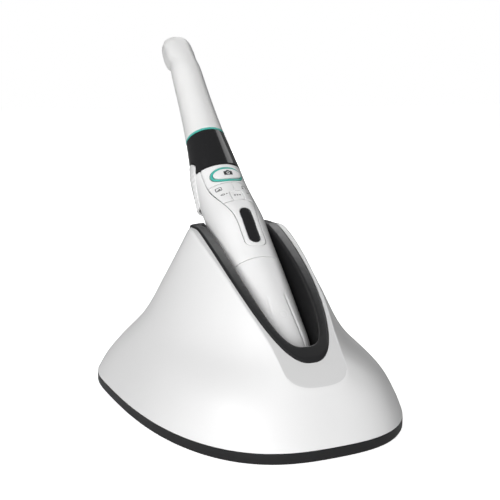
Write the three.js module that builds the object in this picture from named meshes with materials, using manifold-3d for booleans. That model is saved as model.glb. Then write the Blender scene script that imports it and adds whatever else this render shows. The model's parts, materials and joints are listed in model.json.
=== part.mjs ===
// A cordless pen-shaped dental camera handpiece, leaning in its desktop charging cradle.
// Millimetres, +Z up, -Y is the front. The origin is the centre of the cradle's underside.

import * as THREE from 'three';
import { mergeVertices } from 'three/addons/utils/BufferGeometryUtils.js';
import Module from 'manifold-3d';

const wasm = await Module();
wasm.setup();

// ---------------------------------------------------------------- driving dimensions

const GAP = 0.3; // between neighbouring pieces
const BEYOND = 150; // a cutting tool's reach, past every piece
const SEAM = 0.13; // half of a visible hairline seam

// Cradle: a fin-shaped shell described by level sections, from the black rim to the flat crown.
const RIM_TOP = 5;
const CROWN = 80.3;
const CRADLE_SECTIONS = [
  { z: 5, halfWidth: 61.6, front: -88.6, back: 85, widest: 30, frontPower: 2.8, backPower: 2.4 },
  { z: 12, halfWidth: 57.5, front: -84.2, back: 80.2, widest: 27, frontPower: 3, backPower: 2.6 },
  { z: 22, halfWidth: 51.9, front: -78.2, back: 72.4, widest: 23.5, frontPower: 3, backPower: 2.4 },
  { z: 36, halfWidth: 42.2, front: -70.3, back: 60.7, widest: 19, frontPower: 2.1, backPower: 2.1 },
  { z: 56, halfWidth: 33.2, front: -55, back: 44, widest: 14, frontPower: 1.85, backPower: 2.2 },
  { z: CROWN, halfWidth: 23.9, front: -35, back: 22.8, widest: 8, frontPower: 1.6, backPower: 2.4 },
];
const CRADLE_SIDES = 36;
const CRADLE_LEVELS = [9, 15, 23, 32, 44, 60];
const CROWN_EDGE = [{ below: 1.6, inward: 0 }, { below: 0.6, inward: 0.4 }, { below: 0, inward: 1.3 }];
const SHELL_WALL = 2.4;

// The face that the slot is cut in: a large arc in side view that ends in the flat crown.
const SLOT_ARC = { y: 103, z: -157.3, radius: 256, lowAngle: THREE.MathUtils.degToRad(147) };
const LINER_PROUD = 0.7;
const LINER_WALL = 2;
const LINER_RIM_DEPTH = 4;
const SLOT_CENTRE_Y = 8;
const SLOT_INNER = { halfWidth: 15, tip: -61, power: 3 };
const SLOT_OUTER = { halfWidth: 20.8, tip: -67, power: 2.5 };

// The trough round the docked handpiece's underside: [radius, height above the handpiece's lower end].
const TROUGH_SIDE = [[8.4, -0.8], [10.9, 1.6], [12.8, 8], [13.7, 26], [14.4, 60], [14.4, 130]];
const TROUGH_FOOT = 5; // below this height, growing the trough also moves it down

// Underside
const PAD_PROUD = 0.3;
const PAD_THICKNESS = 1.2;
const PAD_INSET = 9;
const BASE_FLOOR = 2.6;
const SCREW_PLACES = [[-37, -38], [37, -38], [-42, 40], [42, 40]];
const SCREW = { headFrom: 0.25, headRadius: 2.9, radius: 1.25, shoulder: 9, end: 9.8 };
const BOSS_RADIUS = 3.6;
const BALLAST = { halfWidth: 34, halfDepth: 30, power: 2.6, centreY: 6, height: 5 };

// Handpiece: its lower end and its lean from the vertical, towards +Y.
const HAND_END = new THREE.Vector3(0, -47.7, 23.5);
const LEAN = THREE.MathUtils.degToRad(45.4);
const HAND_SIDES = 24;
const NECK_SIDES = 24;
const BODY_WALL = 1.8;
const CAP_TOP = 53.4;
const BODY_TOP = 113.3;
const NECK_BEND = THREE.MathUtils.degToRad(7.7);
const NECK_BEHIND = 2.5; // how far the neck's foot lies behind the body's axis

// Sections along the handpiece: at is the distance from its lower end.
const CAP_SECTIONS = [
  { at: 0, halfWidth: 7.4, halfDepth: 7.4, behind: 0, tilt: 0 },
  { at: 0.7, halfWidth: 8.9, halfDepth: 8.9, behind: 0, tilt: 0 },
  { at: 2.5, halfWidth: 10.3, halfDepth: 10.3, behind: 0, tilt: 0 },
  { at: 8, halfWidth: 12, halfDepth: 12, behind: 0, tilt: 0 },
  { at: 26, halfWidth: 12.8, halfDepth: 12.8, behind: 0, tilt: 0 },
  { at: 46, halfWidth: 13.1, halfDepth: 13.1, behind: 0, tilt: 0 },
  { at: 56, halfWidth: 13.1, halfDepth: 13.1, behind: 0, tilt: 0 },
];
const BODY_SECTIONS = [
  { at: 50, halfWidth: 13.1, halfDepth: 13.1, behind: 0, tilt: 0 },
  { at: 66, halfWidth: 13.1, halfDepth: 13.1, behind: 0, tilt: 0 },
  { at: 80, halfWidth: 13.3, halfDepth: 13.5, behind: 0.1, tilt: 0 },
  { at: 88, halfWidth: 13.3, halfDepth: 13.1, behind: 1, tilt: 0.02 },
  { at: 96, halfWidth: 13.1, halfDepth: 12.6, behind: 1.9, tilt: 0.06 },
  { at: 104, halfWidth: 12.8, halfDepth: 12.4, behind: 2.4, tilt: 0.11 },
  { at: BODY_TOP, halfWidth: 12.6, halfDepth: 12.5, behind: NECK_BEHIND, tilt: NECK_BEND },
  { at: 118, halfWidth: 12.1, halfDepth: 12.1, behind: 1.9, tilt: NECK_BEND },
  { at: 122, halfWidth: 11.65, halfDepth: 11.65, behind: 1.35, tilt: NECK_BEND },
];

// Front panel, button, keys and window, as heights above the lower end.
const FASCIA = { bottom: 59.6, narrow: 5.3, wide: 10.7, flareFrom: 72, flareTo: 102, corner: 3.6 };
const FASCIA_DEPTH = 2;
const BUTTON = { at: 105.1, ringWidth: 8.4, ringHeight: 4.4, capWidth: 7.1, capHeight: 3.1, proud: 0.8 };
const KEYPAD = { bottom: 87.3, top: 99.7, depth: 1.25, keyThickness: 0.75 };
const MODE_KEY = { halfWidth: 3.1, bottom: 87.45, top: 93.4, corner: 0.8 };
const WINDOW = { halfWidth: 2.9, bottom: 61.6, top: 81.8 };
const BOARD_FACE = 3.4; // the main board's front face, in front of the axis
const BOARD_THICKNESS = 1.4;
const SWITCH_HEIGHT = 2.6;
const STEM_END = BOARD_FACE + GAP + SWITCH_HEIGHT + 0.75;
const KEY_STEMS = { left_key: [-4.7, 95.5], right_key: [4.7, 95.5], mode_key: [0, 90.4] };

// Neck, measured from its foot along its own axis.
const BAND_LENGTH = 22.4;
const RING_LENGTH = 1;
const CORE = { outer: 7.4, inner: 6, from: -4, to: 38 };
const NECK_SECTIONS = [
  { at: 23.8, radius: 9.9 },
  { at: 36, radius: 9.1 },
  { at: 48, radius: 8.5 },
  { at: 63, radius: 8 },
  { at: 73, radius: 7.75 },
  { at: 93, radius: 7.75 },
];
const NECK_WALL = 1.3;

// The head: its front falls away towards the tip, and a flat-backed pad swells out behind.
const HEAD = { from: 64.6, tip: 92.2, lean: 5, fall: 1.6, endRound: 5 };
const PAD = { at: 80.5, halfWidth: 7.6, halfHeight: 10.75, back: 9.3 };
const PANE = { halfWidth: 4.6, halfHeight: 7 };

// Rear lever
const LEVER = { from: 97, to: 121, frontLow: 5, frontHigh: -2, wall: 1, pinAt: 107.8, pinBehind: 11.2 };
const LEVER_PROUD = { high: 0.3, low: 1.9 };
const LEVER_CLEARANCE = 0.5;
const LEVER_SPRING_AT = 100.5;

// Charging contacts: two pins that meet two pads on the handpiece's end.
const CONTACT_OFFSET = 4;
const PIN = { tip: -0.5, radius: 0.9, flangeRadius: 1.5, flangeFrom: -4.8, flangeTo: -5.8 };
const BLOCK = { from: -3.2, to: -12.2, chamberFrom: -4.4, chamberTo: -11.2, chamberRadius: 1.9 };

// ---------------------------------------------------------------- materials

function plastic(colour, roughness) {
  return new THREE.MeshStandardMaterial({ color: colour, roughness, metalness: 0 });
}

function metal(colour, roughness) {
  return new THREE.MeshStandardMaterial({ color: colour, roughness, metalness: 1 });
}

const MATERIALS = {
  white: plastic(0xf2f2f2, 0.25),
  satinWhite: plastic(0xf0f0f0, 0.4),
  teal: plastic(0x3fb5a3, 0.3),
  black: plastic(0x1c1c1c, 0.12),
  darkGrey: plastic(0x2e2e2e, 0.45),
  rimBlack: plastic(0x262626, 0.5),
  rubber: plastic(0x202020, 0.9),
  board: plastic(0x1f5a3c, 0.6),
  chip: plastic(0x2a2a2a, 0.5),
  clear: plastic(0xdde6ea, 0.05),
  steel: metal(0xb8b8b8, 0.35),
  gold: metal(0xd8b45a, 0.3),
  cell: plastic(0x3a6ea5, 0.4),
};

// ---------------------------------------------------------------- solids and meshes

function toSolid(geometry) {
  const bare = geometry.clone();
  bare.deleteAttribute('normal');
  bare.deleteAttribute('uv');
  const merged = mergeVertices(bare, 1e-4);
  const mesh = new wasm.Mesh({
    numProp: 3,
    vertProperties: new Float32Array(merged.attributes.position.array),
    triVerts: new Uint32Array(merged.index.array),
  });
  return new wasm.Manifold(mesh);
}

function toGeometry(solid) {
  const mesh = solid.getMesh();
  const geometry = new THREE.BufferGeometry();
  geometry.setAttribute('position', new THREE.BufferAttribute(mesh.vertProperties, 3));
  geometry.setIndex(new THREE.BufferAttribute(mesh.triVerts, 1));
  geometry.computeVertexNormals();
  return geometry;
}

function addPiece(parent, name, solid, material) {
  const mesh = new THREE.Mesh(toGeometry(solid), material);
  mesh.name = name;
  parent.add(mesh);
  return mesh;
}

function union(...solids) {
  return solids.reduce((whole, next) => whole.add(next));
}

function cut(solid, ...tools) {
  return tools.reduce((rest, tool) => rest.subtract(tool), solid);
}

// A closed skin over rings of points, each anticlockwise when seen from the last ring.
function loft(rings) {
  const sides = rings[0].length;
  const points = rings.flat();
  const index = [];
  for (let r = 0; r < rings.length - 1; r += 1) {
    for (let i = 0; i < sides; i += 1) {
      const next = (i + 1) % sides;
      const a = r * sides + i;
      const b = r * sides + next;
      const c = (r + 1) * sides + next;
      const d = (r + 1) * sides + i;
      index.push(a, b, c, a, c, d);
    }
  }
  const middle = (ring) => ring.reduce((sum, p) => sum.add(p), new THREE.Vector3()).divideScalar(sides);
  const top = (rings.length - 1) * sides;
  points.push(middle(rings[0]), middle(rings.at(-1)));
  for (let i = 0; i < sides; i += 1) {
    const next = (i + 1) % sides;
    index.push(points.length - 2, next, i, points.length - 1, top + i, top + next);
  }
  const geometry = new THREE.BufferGeometry().setFromPoints(points);
  geometry.setIndex(index);
  return toSolid(geometry);
}

// Smooth values between rows of stations, looked up by the rows' first key.
function smoothStations(rows) {
  const keys = Object.keys(rows[0]);
  const positions = rows.map((row) => row[keys[0]]);
  const values = rows.flatMap((row) => keys.slice(1).map((key) => row[key]));
  const curve = new THREE.CubicInterpolant(positions, values, keys.length - 1);
  return (at) => {
    const found = curve.evaluate(at);
    return Object.fromEntries(keys.slice(1).map((key, k) => [key, found[k]]));
  };
}

function steps(from, to, count) {
  return Array.from({ length: count + 1 }, (_, i) => from + ((to - from) * i) / count);
}

function power(value, exponent) {
  return Math.sign(value) * Math.abs(value) ** exponent;
}

function superellipse(halfWidth, halfHeight, exponent, sides, centreX = 0, centreY = 0) {
  const points = steps(0, 2 * Math.PI, sides).slice(0, -1).map((angle) => new THREE.Vector2(
    centreX + halfWidth * power(Math.cos(angle), 2 / exponent),
    centreY + halfHeight * power(Math.sin(angle), 2 / exponent),
  ));
  return new THREE.Shape(points);
}

function roundedBox(left, right, bottom, top, radius) {
  const shape = new THREE.Shape();
  shape.absarc(right - radius, bottom + radius, radius, -Math.PI / 2, 0);
  shape.absarc(right - radius, top - radius, radius, 0, Math.PI / 2);
  shape.absarc(left + radius, top - radius, radius, Math.PI / 2, Math.PI);
  shape.absarc(left + radius, bottom + radius, radius, Math.PI, 1.5 * Math.PI);
  return shape;
}

function extrude(shape, depth, curveSegments = 6) {
  return new THREE.ExtrudeGeometry(shape, { depth, curveSegments, bevelEnabled: false });
}

const X = new THREE.Vector3(1, 0, 0);
const Y = new THREE.Vector3(0, 1, 0);
const Z = new THREE.Vector3(0, 0, 1);

// A prism on a shape drawn in X and Z, running from y = near towards -Y (the front).
function frontPrism(shape, near = -3.5, depth = 17, curveSegments = 4) {
  const turn = new THREE.Matrix4().makeBasis(X, Z, Y.clone().negate());
  return toSolid(extrude(shape, depth, curveSegments).applyMatrix4(turn).translate(0, near, 0));
}

// A prism on a shape drawn in Y and Z, running through from -X to +X.
function sidePrism(shape, halfWidth, curveSegments = 8) {
  const turn = new THREE.Matrix4().makeBasis(Y, Z, X);
  return toSolid(extrude(shape, 2 * halfWidth, curveSegments).applyMatrix4(turn).translate(-halfWidth, 0, 0));
}

function box(x0, x1, y0, y1, z0, z1) {
  const geometry = new THREE.BoxGeometry(x1 - x0, y1 - y0, z1 - z0);
  return toSolid(geometry.translate((x0 + x1) / 2, (y0 + y1) / 2, (z0 + z1) / 2));
}

// A solid of revolution about Z from [radius, z] pairs that start and end on the axis.
function turned(profile, sides = 24) {
  const points = profile.map(([radius, z]) => new THREE.Vector2(radius, z));
  return toSolid(new THREE.LatheGeometry(points, sides).rotateX(Math.PI / 2));
}

function rod(radius, z0, z1, sides = 16, x = 0, y = 0) {
  return turned([[0, z0], [radius, z0], [radius, z1], [0, z1]], sides).translate([x, y, 0]);
}

// A rod along Y, between y0 and y1.
function rodAlongY(radius, y0, y1, x, z, sides = 16) {
  const geometry = new THREE.CylinderGeometry(radius, radius, y1 - y0, sides);
  return toSolid(geometry.translate(x, (y0 + y1) / 2, z));
}

function rodAlongX(radius, halfLength, y, z, sides = 16) {
  const geometry = new THREE.CylinderGeometry(radius, radius, 2 * halfLength, sides).rotateZ(Math.PI / 2);
  return toSolid(geometry.translate(0, y, z));
}

class Helix extends THREE.Curve {
  constructor(radius, length, turns) {
    super();
    Object.assign(this, { radius, length, turns });
  }

  getPoint(t, target = new THREE.Vector3()) {
    const angle = 2 * Math.PI * this.turns * t;
    return target.set(this.radius * Math.cos(angle), this.radius * Math.sin(angle), this.length * t);
  }
}

// A coil spring along +Z from z = 0.
function spring(radius, wire, length, turns) {
  const section = new THREE.Shape().absarc(0, 0, wire, 0, 2 * Math.PI);
  const options = { steps: turns * 8, curveSegments: 2, extrudePath: new Helix(radius, length, turns) };
  return toSolid(new THREE.ExtrudeGeometry(section, options));
}

// ---------------------------------------------------------------- cradle forms

const cradleSection = smoothStations(CRADLE_SECTIONS);

function cradleRing(z, inset) {
  const s = cradleSection(z);
  return steps(0, 2 * Math.PI, CRADLE_SIDES).slice(0, -1).map((angle) => {
    const inFront = Math.sin(angle) < 0;
    const exponent = 2 / (inFront ? s.frontPower : s.backPower);
    const reach = (inFront ? s.widest - s.front : s.back - s.widest) - inset;
    const x = (s.halfWidth - inset) * power(Math.cos(angle), exponent);
    return new THREE.Vector3(x, s.widest + reach * power(Math.sin(angle), exponent), z);
  });
}

// The fin-shaped form before the slot is cut; its last rings round the crown's edge.
function fin(inset, bottom) {
  const side = [bottom, ...CRADLE_LEVELS].map((z) => cradleRing(z, inset));
  const edge = CROWN_EDGE.map(({ below, inward }) => {
    const z = CROWN - inset - below;
    return cradleRing(Math.min(z, CROWN), inset + inward).map((p) => p.setZ(z));
  });
  return loft([...side, ...edge]);
}

// Everything above the slot's face when it is raised by lift.
function aboveSlotFace(lift) {
  const { y, z, radius, lowAngle } = SLOT_ARC;
  const crown = CROWN + lift;
  const reach = radius + lift;
  const crownAngle = Math.PI - Math.asin((crown - z) / reach);
  const shape = new THREE.Shape();
  shape.absarc(y, z, reach, lowAngle, crownAngle, true);
  shape.lineTo(BEYOND, crown);
  shape.lineTo(BEYOND, BEYOND);
  shape.lineTo(-BEYOND, BEYOND);
  return sidePrism(shape, BEYOND, 12);
}

// The slot in plan: half a superellipse in front, running straight back behind its centre.
function slotPlan({ halfWidth, tip, power: exponent }, grow) {
  const width = halfWidth + grow;
  const reach = SLOT_CENTRE_Y - tip + grow;
  const front = steps(Math.PI, 2 * Math.PI, 18).map((angle) => new THREE.Vector2(
    width * power(Math.cos(angle), 2 / exponent),
    SLOT_CENTRE_Y + reach * power(Math.sin(angle), 2 / exponent),
  ));
  const back = 70;
  return new THREE.Shape([...front, new THREE.Vector2(width, back), new THREE.Vector2(-width, back)]);
}

function standing(shape, from, to) {
  return toSolid(extrude(shape, to - from).translate(0, 0, from));
}

// Moves a solid made in the handpiece's own frame to its place in the cradle's frame.
function inCradle(solid) {
  return solid.rotate([-THREE.MathUtils.radToDeg(LEAN), 0, 0]).translate(HAND_END.toArray());
}

// The room the docked handpiece needs: a round trough under its axis and a straight slot above it.
function pocket(grow) {
  const side = TROUGH_SIDE.map(([radius, at]) => [radius + grow, at < TROUGH_FOOT ? at - grow : at]);
  const [, floor] = side[0];
  const trough = turned([[0, floor], ...side, [0, side.at(-1)[1]]], 32);
  const slot = standing(slotPlan(SLOT_INNER, grow), -20, BEYOND);
  const behindAxis = box(-BEYOND, BEYOND, 0.4, BEYOND, -BEYOND, BEYOND);
  const belowEnd = box(-BEYOND, BEYOND, -BEYOND, BEYOND, -BEYOND, floor);
  return union(inCradle(trough), cut(slot, inCradle(behindAxis), inCradle(belowEnd)));
}

// ---------------------------------------------------------------- cradle pieces

const SOCKET = { halfWidth: 4.6, bottom: 7.4, top: 10.9, front: 70, back: 80.6 };

function screwBosses() {
  const posts = SCREW_PLACES.map(([x, y]) => rod(BOSS_RADIUS, BASE_FLOOR + GAP, 60, 12, x, y));
  return union(...posts).intersect(fin(SHELL_WALL - 1, 1));
}

function cradleShell() {
  const skin = fin(0, RIM_TOP + 0.2).subtract(aboveSlotFace(0));
  const hollow = fin(SHELL_WALL, 0).subtract(aboveSlotFace(-SHELL_WALL));
  const mouth = standing(slotPlan(SLOT_OUTER, GAP), 0, BEYOND).intersect(aboveSlotFace(-LINER_RIM_DEPTH - 1.5));
  const body = union(cut(skin, hollow), screwBosses());
  const threads = SCREW_PLACES.map(([x, y]) => rod(1.5, 0, 10.5, 12, x, y));
  const { halfWidth, bottom, top, front } = SOCKET;
  const socketHole = box(-halfWidth - GAP, halfWidth + GAP, front, BEYOND, bottom - GAP, top + GAP);
  return cut(body, mouth, pocket(LINER_WALL + GAP), socketHole, ...threads);
}

function linerCup() {
  const rim = standing(slotPlan(SLOT_OUTER, 0), 0, BEYOND).intersect(aboveSlotFace(-LINER_RIM_DEPTH));
  const blank = union(rim, pocket(LINER_WALL));
  const trimmed = blank.subtract(aboveSlotFace(LINER_PROUD)).intersect(fin(-LINER_PROUD, 0));
  const pinHoles = contactPlaces().map((x) => inCradle(rod(PIN.radius + GAP, -6, 1, 16, x)));
  return cut(trimmed, pocket(0), ...pinHoles);
}

function basePlate() {
  const bottom = PAD_PROUD;
  const ringAt = (z, inset) => cradleRing(RIM_TOP, inset).map((p) => p.setZ(z));
  const blank = loft([ringAt(bottom, 0.6), ringAt(bottom + 0.6, 0), ringAt(RIM_TOP, 0)]);
  const tray = loft([ringAt(BASE_FLOOR, 3.2), ringAt(RIM_TOP + 1, 3.2)]);
  const recessTop = PAD_THICKNESS + GAP;
  const padRecess = loft([ringAt(0, PAD_INSET - GAP), ringAt(recessTop, PAD_INSET - GAP)]);
  const holes = SCREW_PLACES.map(([x, y]) => rod(1.6, 0, 6, 12, x, y));
  const posts = SCREW_PLACES.map(([x, y]) => rod(4.6, recessTop, BASE_FLOOR, 12, x, y));
  return cut(union(cut(blank, tray, padRecess), ...posts), ...holes);
}

function rubberPad() {
  const ringAt = (z) => cradleRing(RIM_TOP, PAD_INSET).map((p) => p.setZ(z));
  const holes = SCREW_PLACES.map(([x, y]) => rod(3.4, -1, 3, 12, x, y));
  return cut(loft([ringAt(0), ringAt(PAD_THICKNESS)]), ...holes);
}

function baseScrew([x, y]) {
  const { headFrom, headRadius, radius, shoulder, end } = SCREW;
  const headTop = PAD_THICKNESS;
  const head = [[0, headFrom], [headRadius, headFrom], [headRadius, headTop], [radius, headTop]];
  return turned([...head, [radius, shoulder], [0, end]], 12).translate([x, y, 0]);
}

function ballastWeight() {
  const { halfWidth, halfDepth, power: exponent, centreY, height } = BALLAST;
  const bottom = BASE_FLOOR + GAP;
  return standing(superellipse(halfWidth, halfDepth, exponent, 32, 0, centreY), bottom, bottom + height);
}

function chargingBoard() {
  return box(-17, 17, 44, 76, 5.4, 7);
}

function powerSocket() {
  const { halfWidth, bottom, top, front, back } = SOCKET;
  const body = frontPrism(roundedBox(-halfWidth, halfWidth, bottom, top, 1.2), back, back - front, 4);
  const mouth = frontPrism(roundedBox(-3.9, 3.9, bottom + 0.6, top - 0.6, 0.9), back + 1, 7, 4);
  return cut(body, mouth);
}

// ---------------------------------------------------------------- charging contacts

function contactPlaces() {
  return [-CONTACT_OFFSET, CONTACT_OFFSET];
}

function contactBlock() {
  const blank = box(-7.5, 7.5, -3.4, 3.4, BLOCK.to, BLOCK.from);
  const bores = contactPlaces().map((x) => rod(PIN.radius + 0.08, BLOCK.chamberFrom - 1, 0, 16, x));
  const chambers = contactPlaces().map((x) => rod(BLOCK.chamberRadius, BLOCK.chamberTo, BLOCK.chamberFrom, 16, x));
  return inCradle(cut(blank, ...bores, ...chambers));
}

function chargePin(x) {
  const { tip, radius, flangeRadius, flangeFrom, flangeTo } = PIN;
  const profile = [
    [0, flangeTo],
    [flangeRadius, flangeTo],
    [flangeRadius, flangeFrom],
    [radius, flangeFrom],
    [radius, tip - 0.4],
    [radius - 0.4, tip],
    [0, tip],
  ];
  return inCradle(turned(profile, 16).translate([x, 0, 0]));
}

function pinSpring(x) {
  const length = PIN.flangeTo - BLOCK.chamberTo - 1.2;
  return inCradle(spring(1.2, 0.25, length, 4).translate([x, 0, BLOCK.chamberTo + 0.6]));
}

// ---------------------------------------------------------------- handpiece forms

const capSection = smoothStations(CAP_SECTIONS);
const bodySection = smoothStations(BODY_SECTIONS);

function handRing(section, at, inset) {
  const { halfWidth, halfDepth, behind, tilt } = section(at);
  return steps(0, 2 * Math.PI, HAND_SIDES).slice(0, -1).map((angle) => {
    const depth = (halfDepth - inset) * Math.sin(angle);
    const x = (halfWidth - inset) * Math.cos(angle);
    return new THREE.Vector3(x, behind + depth * Math.cos(tilt), at + depth * Math.sin(tilt));
  });
}

function handForm(section, inset, from, to, count) {
  return loft(steps(from, to, count).map((at) => handRing(section, at, inset)));
}

// The upper body, grown or shrunk by inset; a shrunk one runs past both ends, to hollow it out.
function bodyForm(inset) {
  return inset > 0
    ? handForm(bodySection, inset, CAP_TOP - 2, BODY_TOP + 1.5, 7)
    : handForm(bodySection, inset, CAP_TOP + SEAM, BODY_TOP - SEAM * 2, 7);
}

function bodyLayer(outer, inner) {
  return bodyForm(outer).subtract(bodyForm(inner));
}

function fasciaOutline(grow) {
  const { bottom, narrow, wide, flareFrom, flareTo, corner } = FASCIA;
  const slim = narrow + grow;
  const broad = wide + grow;
  const radius = corner + grow;
  const floor = bottom - grow;
  const top = BODY_TOP + 12;
  const shape = new THREE.Shape();
  shape.absarc(slim - radius, floor + radius, radius, -Math.PI / 2, 0);
  shape.lineTo(slim, flareFrom);
  shape.bezierCurveTo(slim, flareFrom + 12, broad, flareTo - 10, broad, flareTo);
  shape.lineTo(broad, top);
  shape.lineTo(-broad, top);
  shape.lineTo(-broad, flareTo);
  shape.bezierCurveTo(-broad, flareTo - 10, -slim, flareFrom + 12, -slim, flareFrom);
  shape.absarc(radius - slim, floor + radius, radius, Math.PI, 1.5 * Math.PI);
  return shape;
}

function windowShape(grow) {
  const half = WINDOW.halfWidth + grow;
  return roundedBox(-half, half, WINDOW.bottom - grow, WINDOW.top + grow, half - 0.01);
}

function modeKeyShape(grow) {
  const { halfWidth, bottom, top, corner } = MODE_KEY;
  return roundedBox(-halfWidth - grow, halfWidth + grow, bottom - grow, top + grow, corner + grow);
}

function ovalButton(halfWidth, halfHeight) {
  return superellipse(halfWidth, halfHeight, 2.4, 24, 0, BUTTON.at);
}

// ---------------------------------------------------------------- handpiece body pieces

function lowerCap() {
  const rounds = [0, 0.7, 2.5, 8];
  const shaft = steps(15, CAP_TOP - SEAM, 4);
  const skin = loft([...rounds, ...shaft].map((at) => handRing(capSection, at, 0)));
  const bore = loft([2.6, 8, 26, CAP_TOP + 1].map((at) => handRing(capSection, at, BODY_WALL)));
  const pads = contactPlaces().map((x) => rod(2.1, -1, 1.1, 16, x));
  const grooves = [-1, 1].map((side) => {
    const lower = new THREE.Shape([
      new THREE.Vector2(side * 5.6, 4),
      new THREE.Vector2(side * 5.1, 4),
      new THREE.Vector2(side * 4.4, 33),
      new THREE.Vector2(side * 4.6, 33),
    ]);
    return frontPrism(lower, -3, 17);
  });
  const core = handForm(capSection, 0.4, 1, CAP_TOP + 1, 6);
  return cut(skin, bore, ...pads, ...grooves.map((groove) => groove.subtract(core)));
}

function contactPad(x) {
  return rod(1.8, 0, 0.8, 16, x);
}

function spigot() {
  return turned([
    [9.4, 46.5],
    [11, 46.5],
    [11, 48.2],
    [10.1, 48.2],
    [10.1, 50],
    [11, 50],
    [11, CAP_TOP + 0.5],
    [11.6, CAP_TOP + 1.2],
    [11.6, CAP_TOP + 2.5],
    [9.4, CAP_TOP + 2.5],
    [9.4, 46.5],
  ], HAND_SIDES);
}

function capSeal() {
  const geometry = new THREE.TorusGeometry(10.62, 0.46, 6, HAND_SIDES);
  return toSolid(geometry.translate(0, 0, 49.1));
}

function leverMountings() {
  const { pinAt, pinBehind } = LEVER;
  const ears = [-5.8, 3.5].map((x) => box(x, x + 2.3, pinBehind - 1.4, 12.8, pinAt - 1.8, pinAt + 1.6));
  const cup = rodAlongY(2.9, 10.2, 13.6, 0, LEVER_SPRING_AT);
  return { ears: union(...ears), cup };
}

function bodyShell() {
  const { pinAt, pinBehind } = LEVER;
  const tube = cut(bodyLayer(0, BODY_WALL), frontPrism(fasciaOutline(SEAM)));
  const { ears, cup } = leverMountings();
  const lugSlot = box(-3.3, 3.3, 7, 18, pinAt - 2.1, BODY_TOP + 4);
  const pinBore = rodAlongX(0.95, 9, pinBehind, pinAt);
  const springBore = rodAlongY(2.05, 11, 18, 0, LEVER_SPRING_AT);
  return cut(union(cut(tube, leverRecess()), spigot(), ears, cup), lugSlot, pinBore, springBore);
}

function fasciaPanel() {
  const panel = bodyLayer(0, FASCIA_DEPTH).intersect(frontPrism(fasciaOutline(-SEAM)));
  const { ringWidth, ringHeight } = BUTTON;
  const buttonHole = frontPrism(ovalButton(ringWidth + SEAM, ringHeight + SEAM));
  const keypad = frontPrism(roundedBox(-14, 14, KEYPAD.bottom - SEAM, KEYPAD.top + SEAM, 0.1), -3.5, 17, 1);
  const keyRecess = keypad.subtract(bodyForm(KEYPAD.depth));
  const stemHoles = Object.values(KEY_STEMS).map(([x, z]) => (
    box(x - 1.4, x + 1.4, -20, -3.5, z - 1.4, z + 1.4)
  ));
  return cut(panel, buttonHole, frontPrism(windowShape(SEAM)), keyRecess, ...stemHoles);
}

function displayWindow() {
  return bodyLayer(-0.1, 1.7).intersect(frontPrism(windowShape(-SEAM)));
}

function buttonRing() {
  const { ringWidth, ringHeight, capWidth, capHeight } = BUTTON;
  const outer = frontPrism(ovalButton(ringWidth - SEAM, ringHeight - SEAM));
  const inner = frontPrism(ovalButton(capWidth + SEAM, capHeight + SEAM));
  return bodyLayer(-0.2, 1.6).intersect(cut(outer, inner));
}

function captureButton() {
  const { at, capWidth, capHeight, proud } = BUTTON;
  const cap = bodyLayer(-proud, 0.8).intersect(frontPrism(ovalButton(capWidth - SEAM, capHeight - SEAM)));
  const stem = rodAlongY(1.6, -9.4, -STEM_END, 0, at);
  return union(cap, stem);
}

function keySolid(name, outline) {
  const [x, z] = KEY_STEMS[name];
  const within = frontPrism(fasciaOutline(-SEAM));
  const plate = bodyLayer(-0.1, KEYPAD.keyThickness).intersect(outline.intersect(within));
  const post = box(x - 1.1, x + 1.1, -13, -STEM_END, z - 1.1, z + 1.1);
  return union(plate, post.intersect(bodyForm(0.3)));
}

function sideKey(name, side) {
  const inner = side * SEAM;
  const outer = side * 14;
  const left = Math.min(inner, outer);
  const right = Math.max(inner, outer);
  const half = frontPrism(roundedBox(left, right, KEYPAD.bottom + SEAM, KEYPAD.top - SEAM, 0.1), -3.5, 17, 1);
  return keySolid(name, half.subtract(frontPrism(modeKeyShape(2 * SEAM))));
}

function modeKey() {
  return keySolid('mode_key', frontPrism(modeKeyShape(0)));
}

// ---------------------------------------------------------------- handpiece electronics

function mainBoard() {
  return box(-7.5, 7.5, -BOARD_FACE, BOARD_THICKNESS - BOARD_FACE, 58, 107.8);
}

function tactSwitch(x, z) {
  const near = -BOARD_FACE - GAP;
  const body = box(x - 2.1, x + 2.1, near - SWITCH_HEIGHT + 0.8, near, z - 2.1, z + 2.1);
  const plunger = rodAlongY(1.1, near - SWITCH_HEIGHT, near - SWITCH_HEIGHT + 1, x, z, 12);
  return union(body, plunger);
}

function radioModule() {
  const back = BOARD_THICKNESS - BOARD_FACE + GAP;
  return box(-5, 5, back, back + 2, 84, 98);
}

function batteryCell() {
  return turned([[0, 5], [8, 5], [8.6, 5.6], [8.6, 50.4], [8, 51], [3, 51], [3, 52], [0, 52]], 28);
}

// ---------------------------------------------------------------- rear lever

// The lever seen from the side: its front edge slopes back towards the lower end.
function leverRegion(grow) {
  const { from, to, frontLow, frontHigh } = LEVER;
  const back = 25;
  const top = to + grow;
  const side = new THREE.Shape();
  side.moveTo(frontLow - grow, from - grow);
  side.lineTo(back, from - grow);
  side.lineTo(back, top);
  side.lineTo(frontHigh + 5, top);
  side.quadraticCurveTo(frontHigh - grow, top, frontHigh - grow, top - 5);
  return sidePrism(side, 20, 5);
}

// The body's form grown to the lever's outer face, less depth: proud at the lower end, nearly flush above.
function leverForm(depth) {
  const { from, to } = LEVER;
  const rings = steps(from - 1, to + 1, 5).map((at) => {
    const rise = Math.max(0, (to - at) / (to - from)) ** 1.6;
    const proud = LEVER_PROUD.high + (LEVER_PROUD.low - LEVER_PROUD.high) * rise;
    return handRing(bodySection, at, depth - proud);
  });
  return loft(rings);
}

// The room that the lever needs in the body and the band under it.
function leverRecess() {
  return leverRegion(GAP).subtract(leverForm(LEVER.wall + LEVER_CLEARANCE));
}

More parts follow.
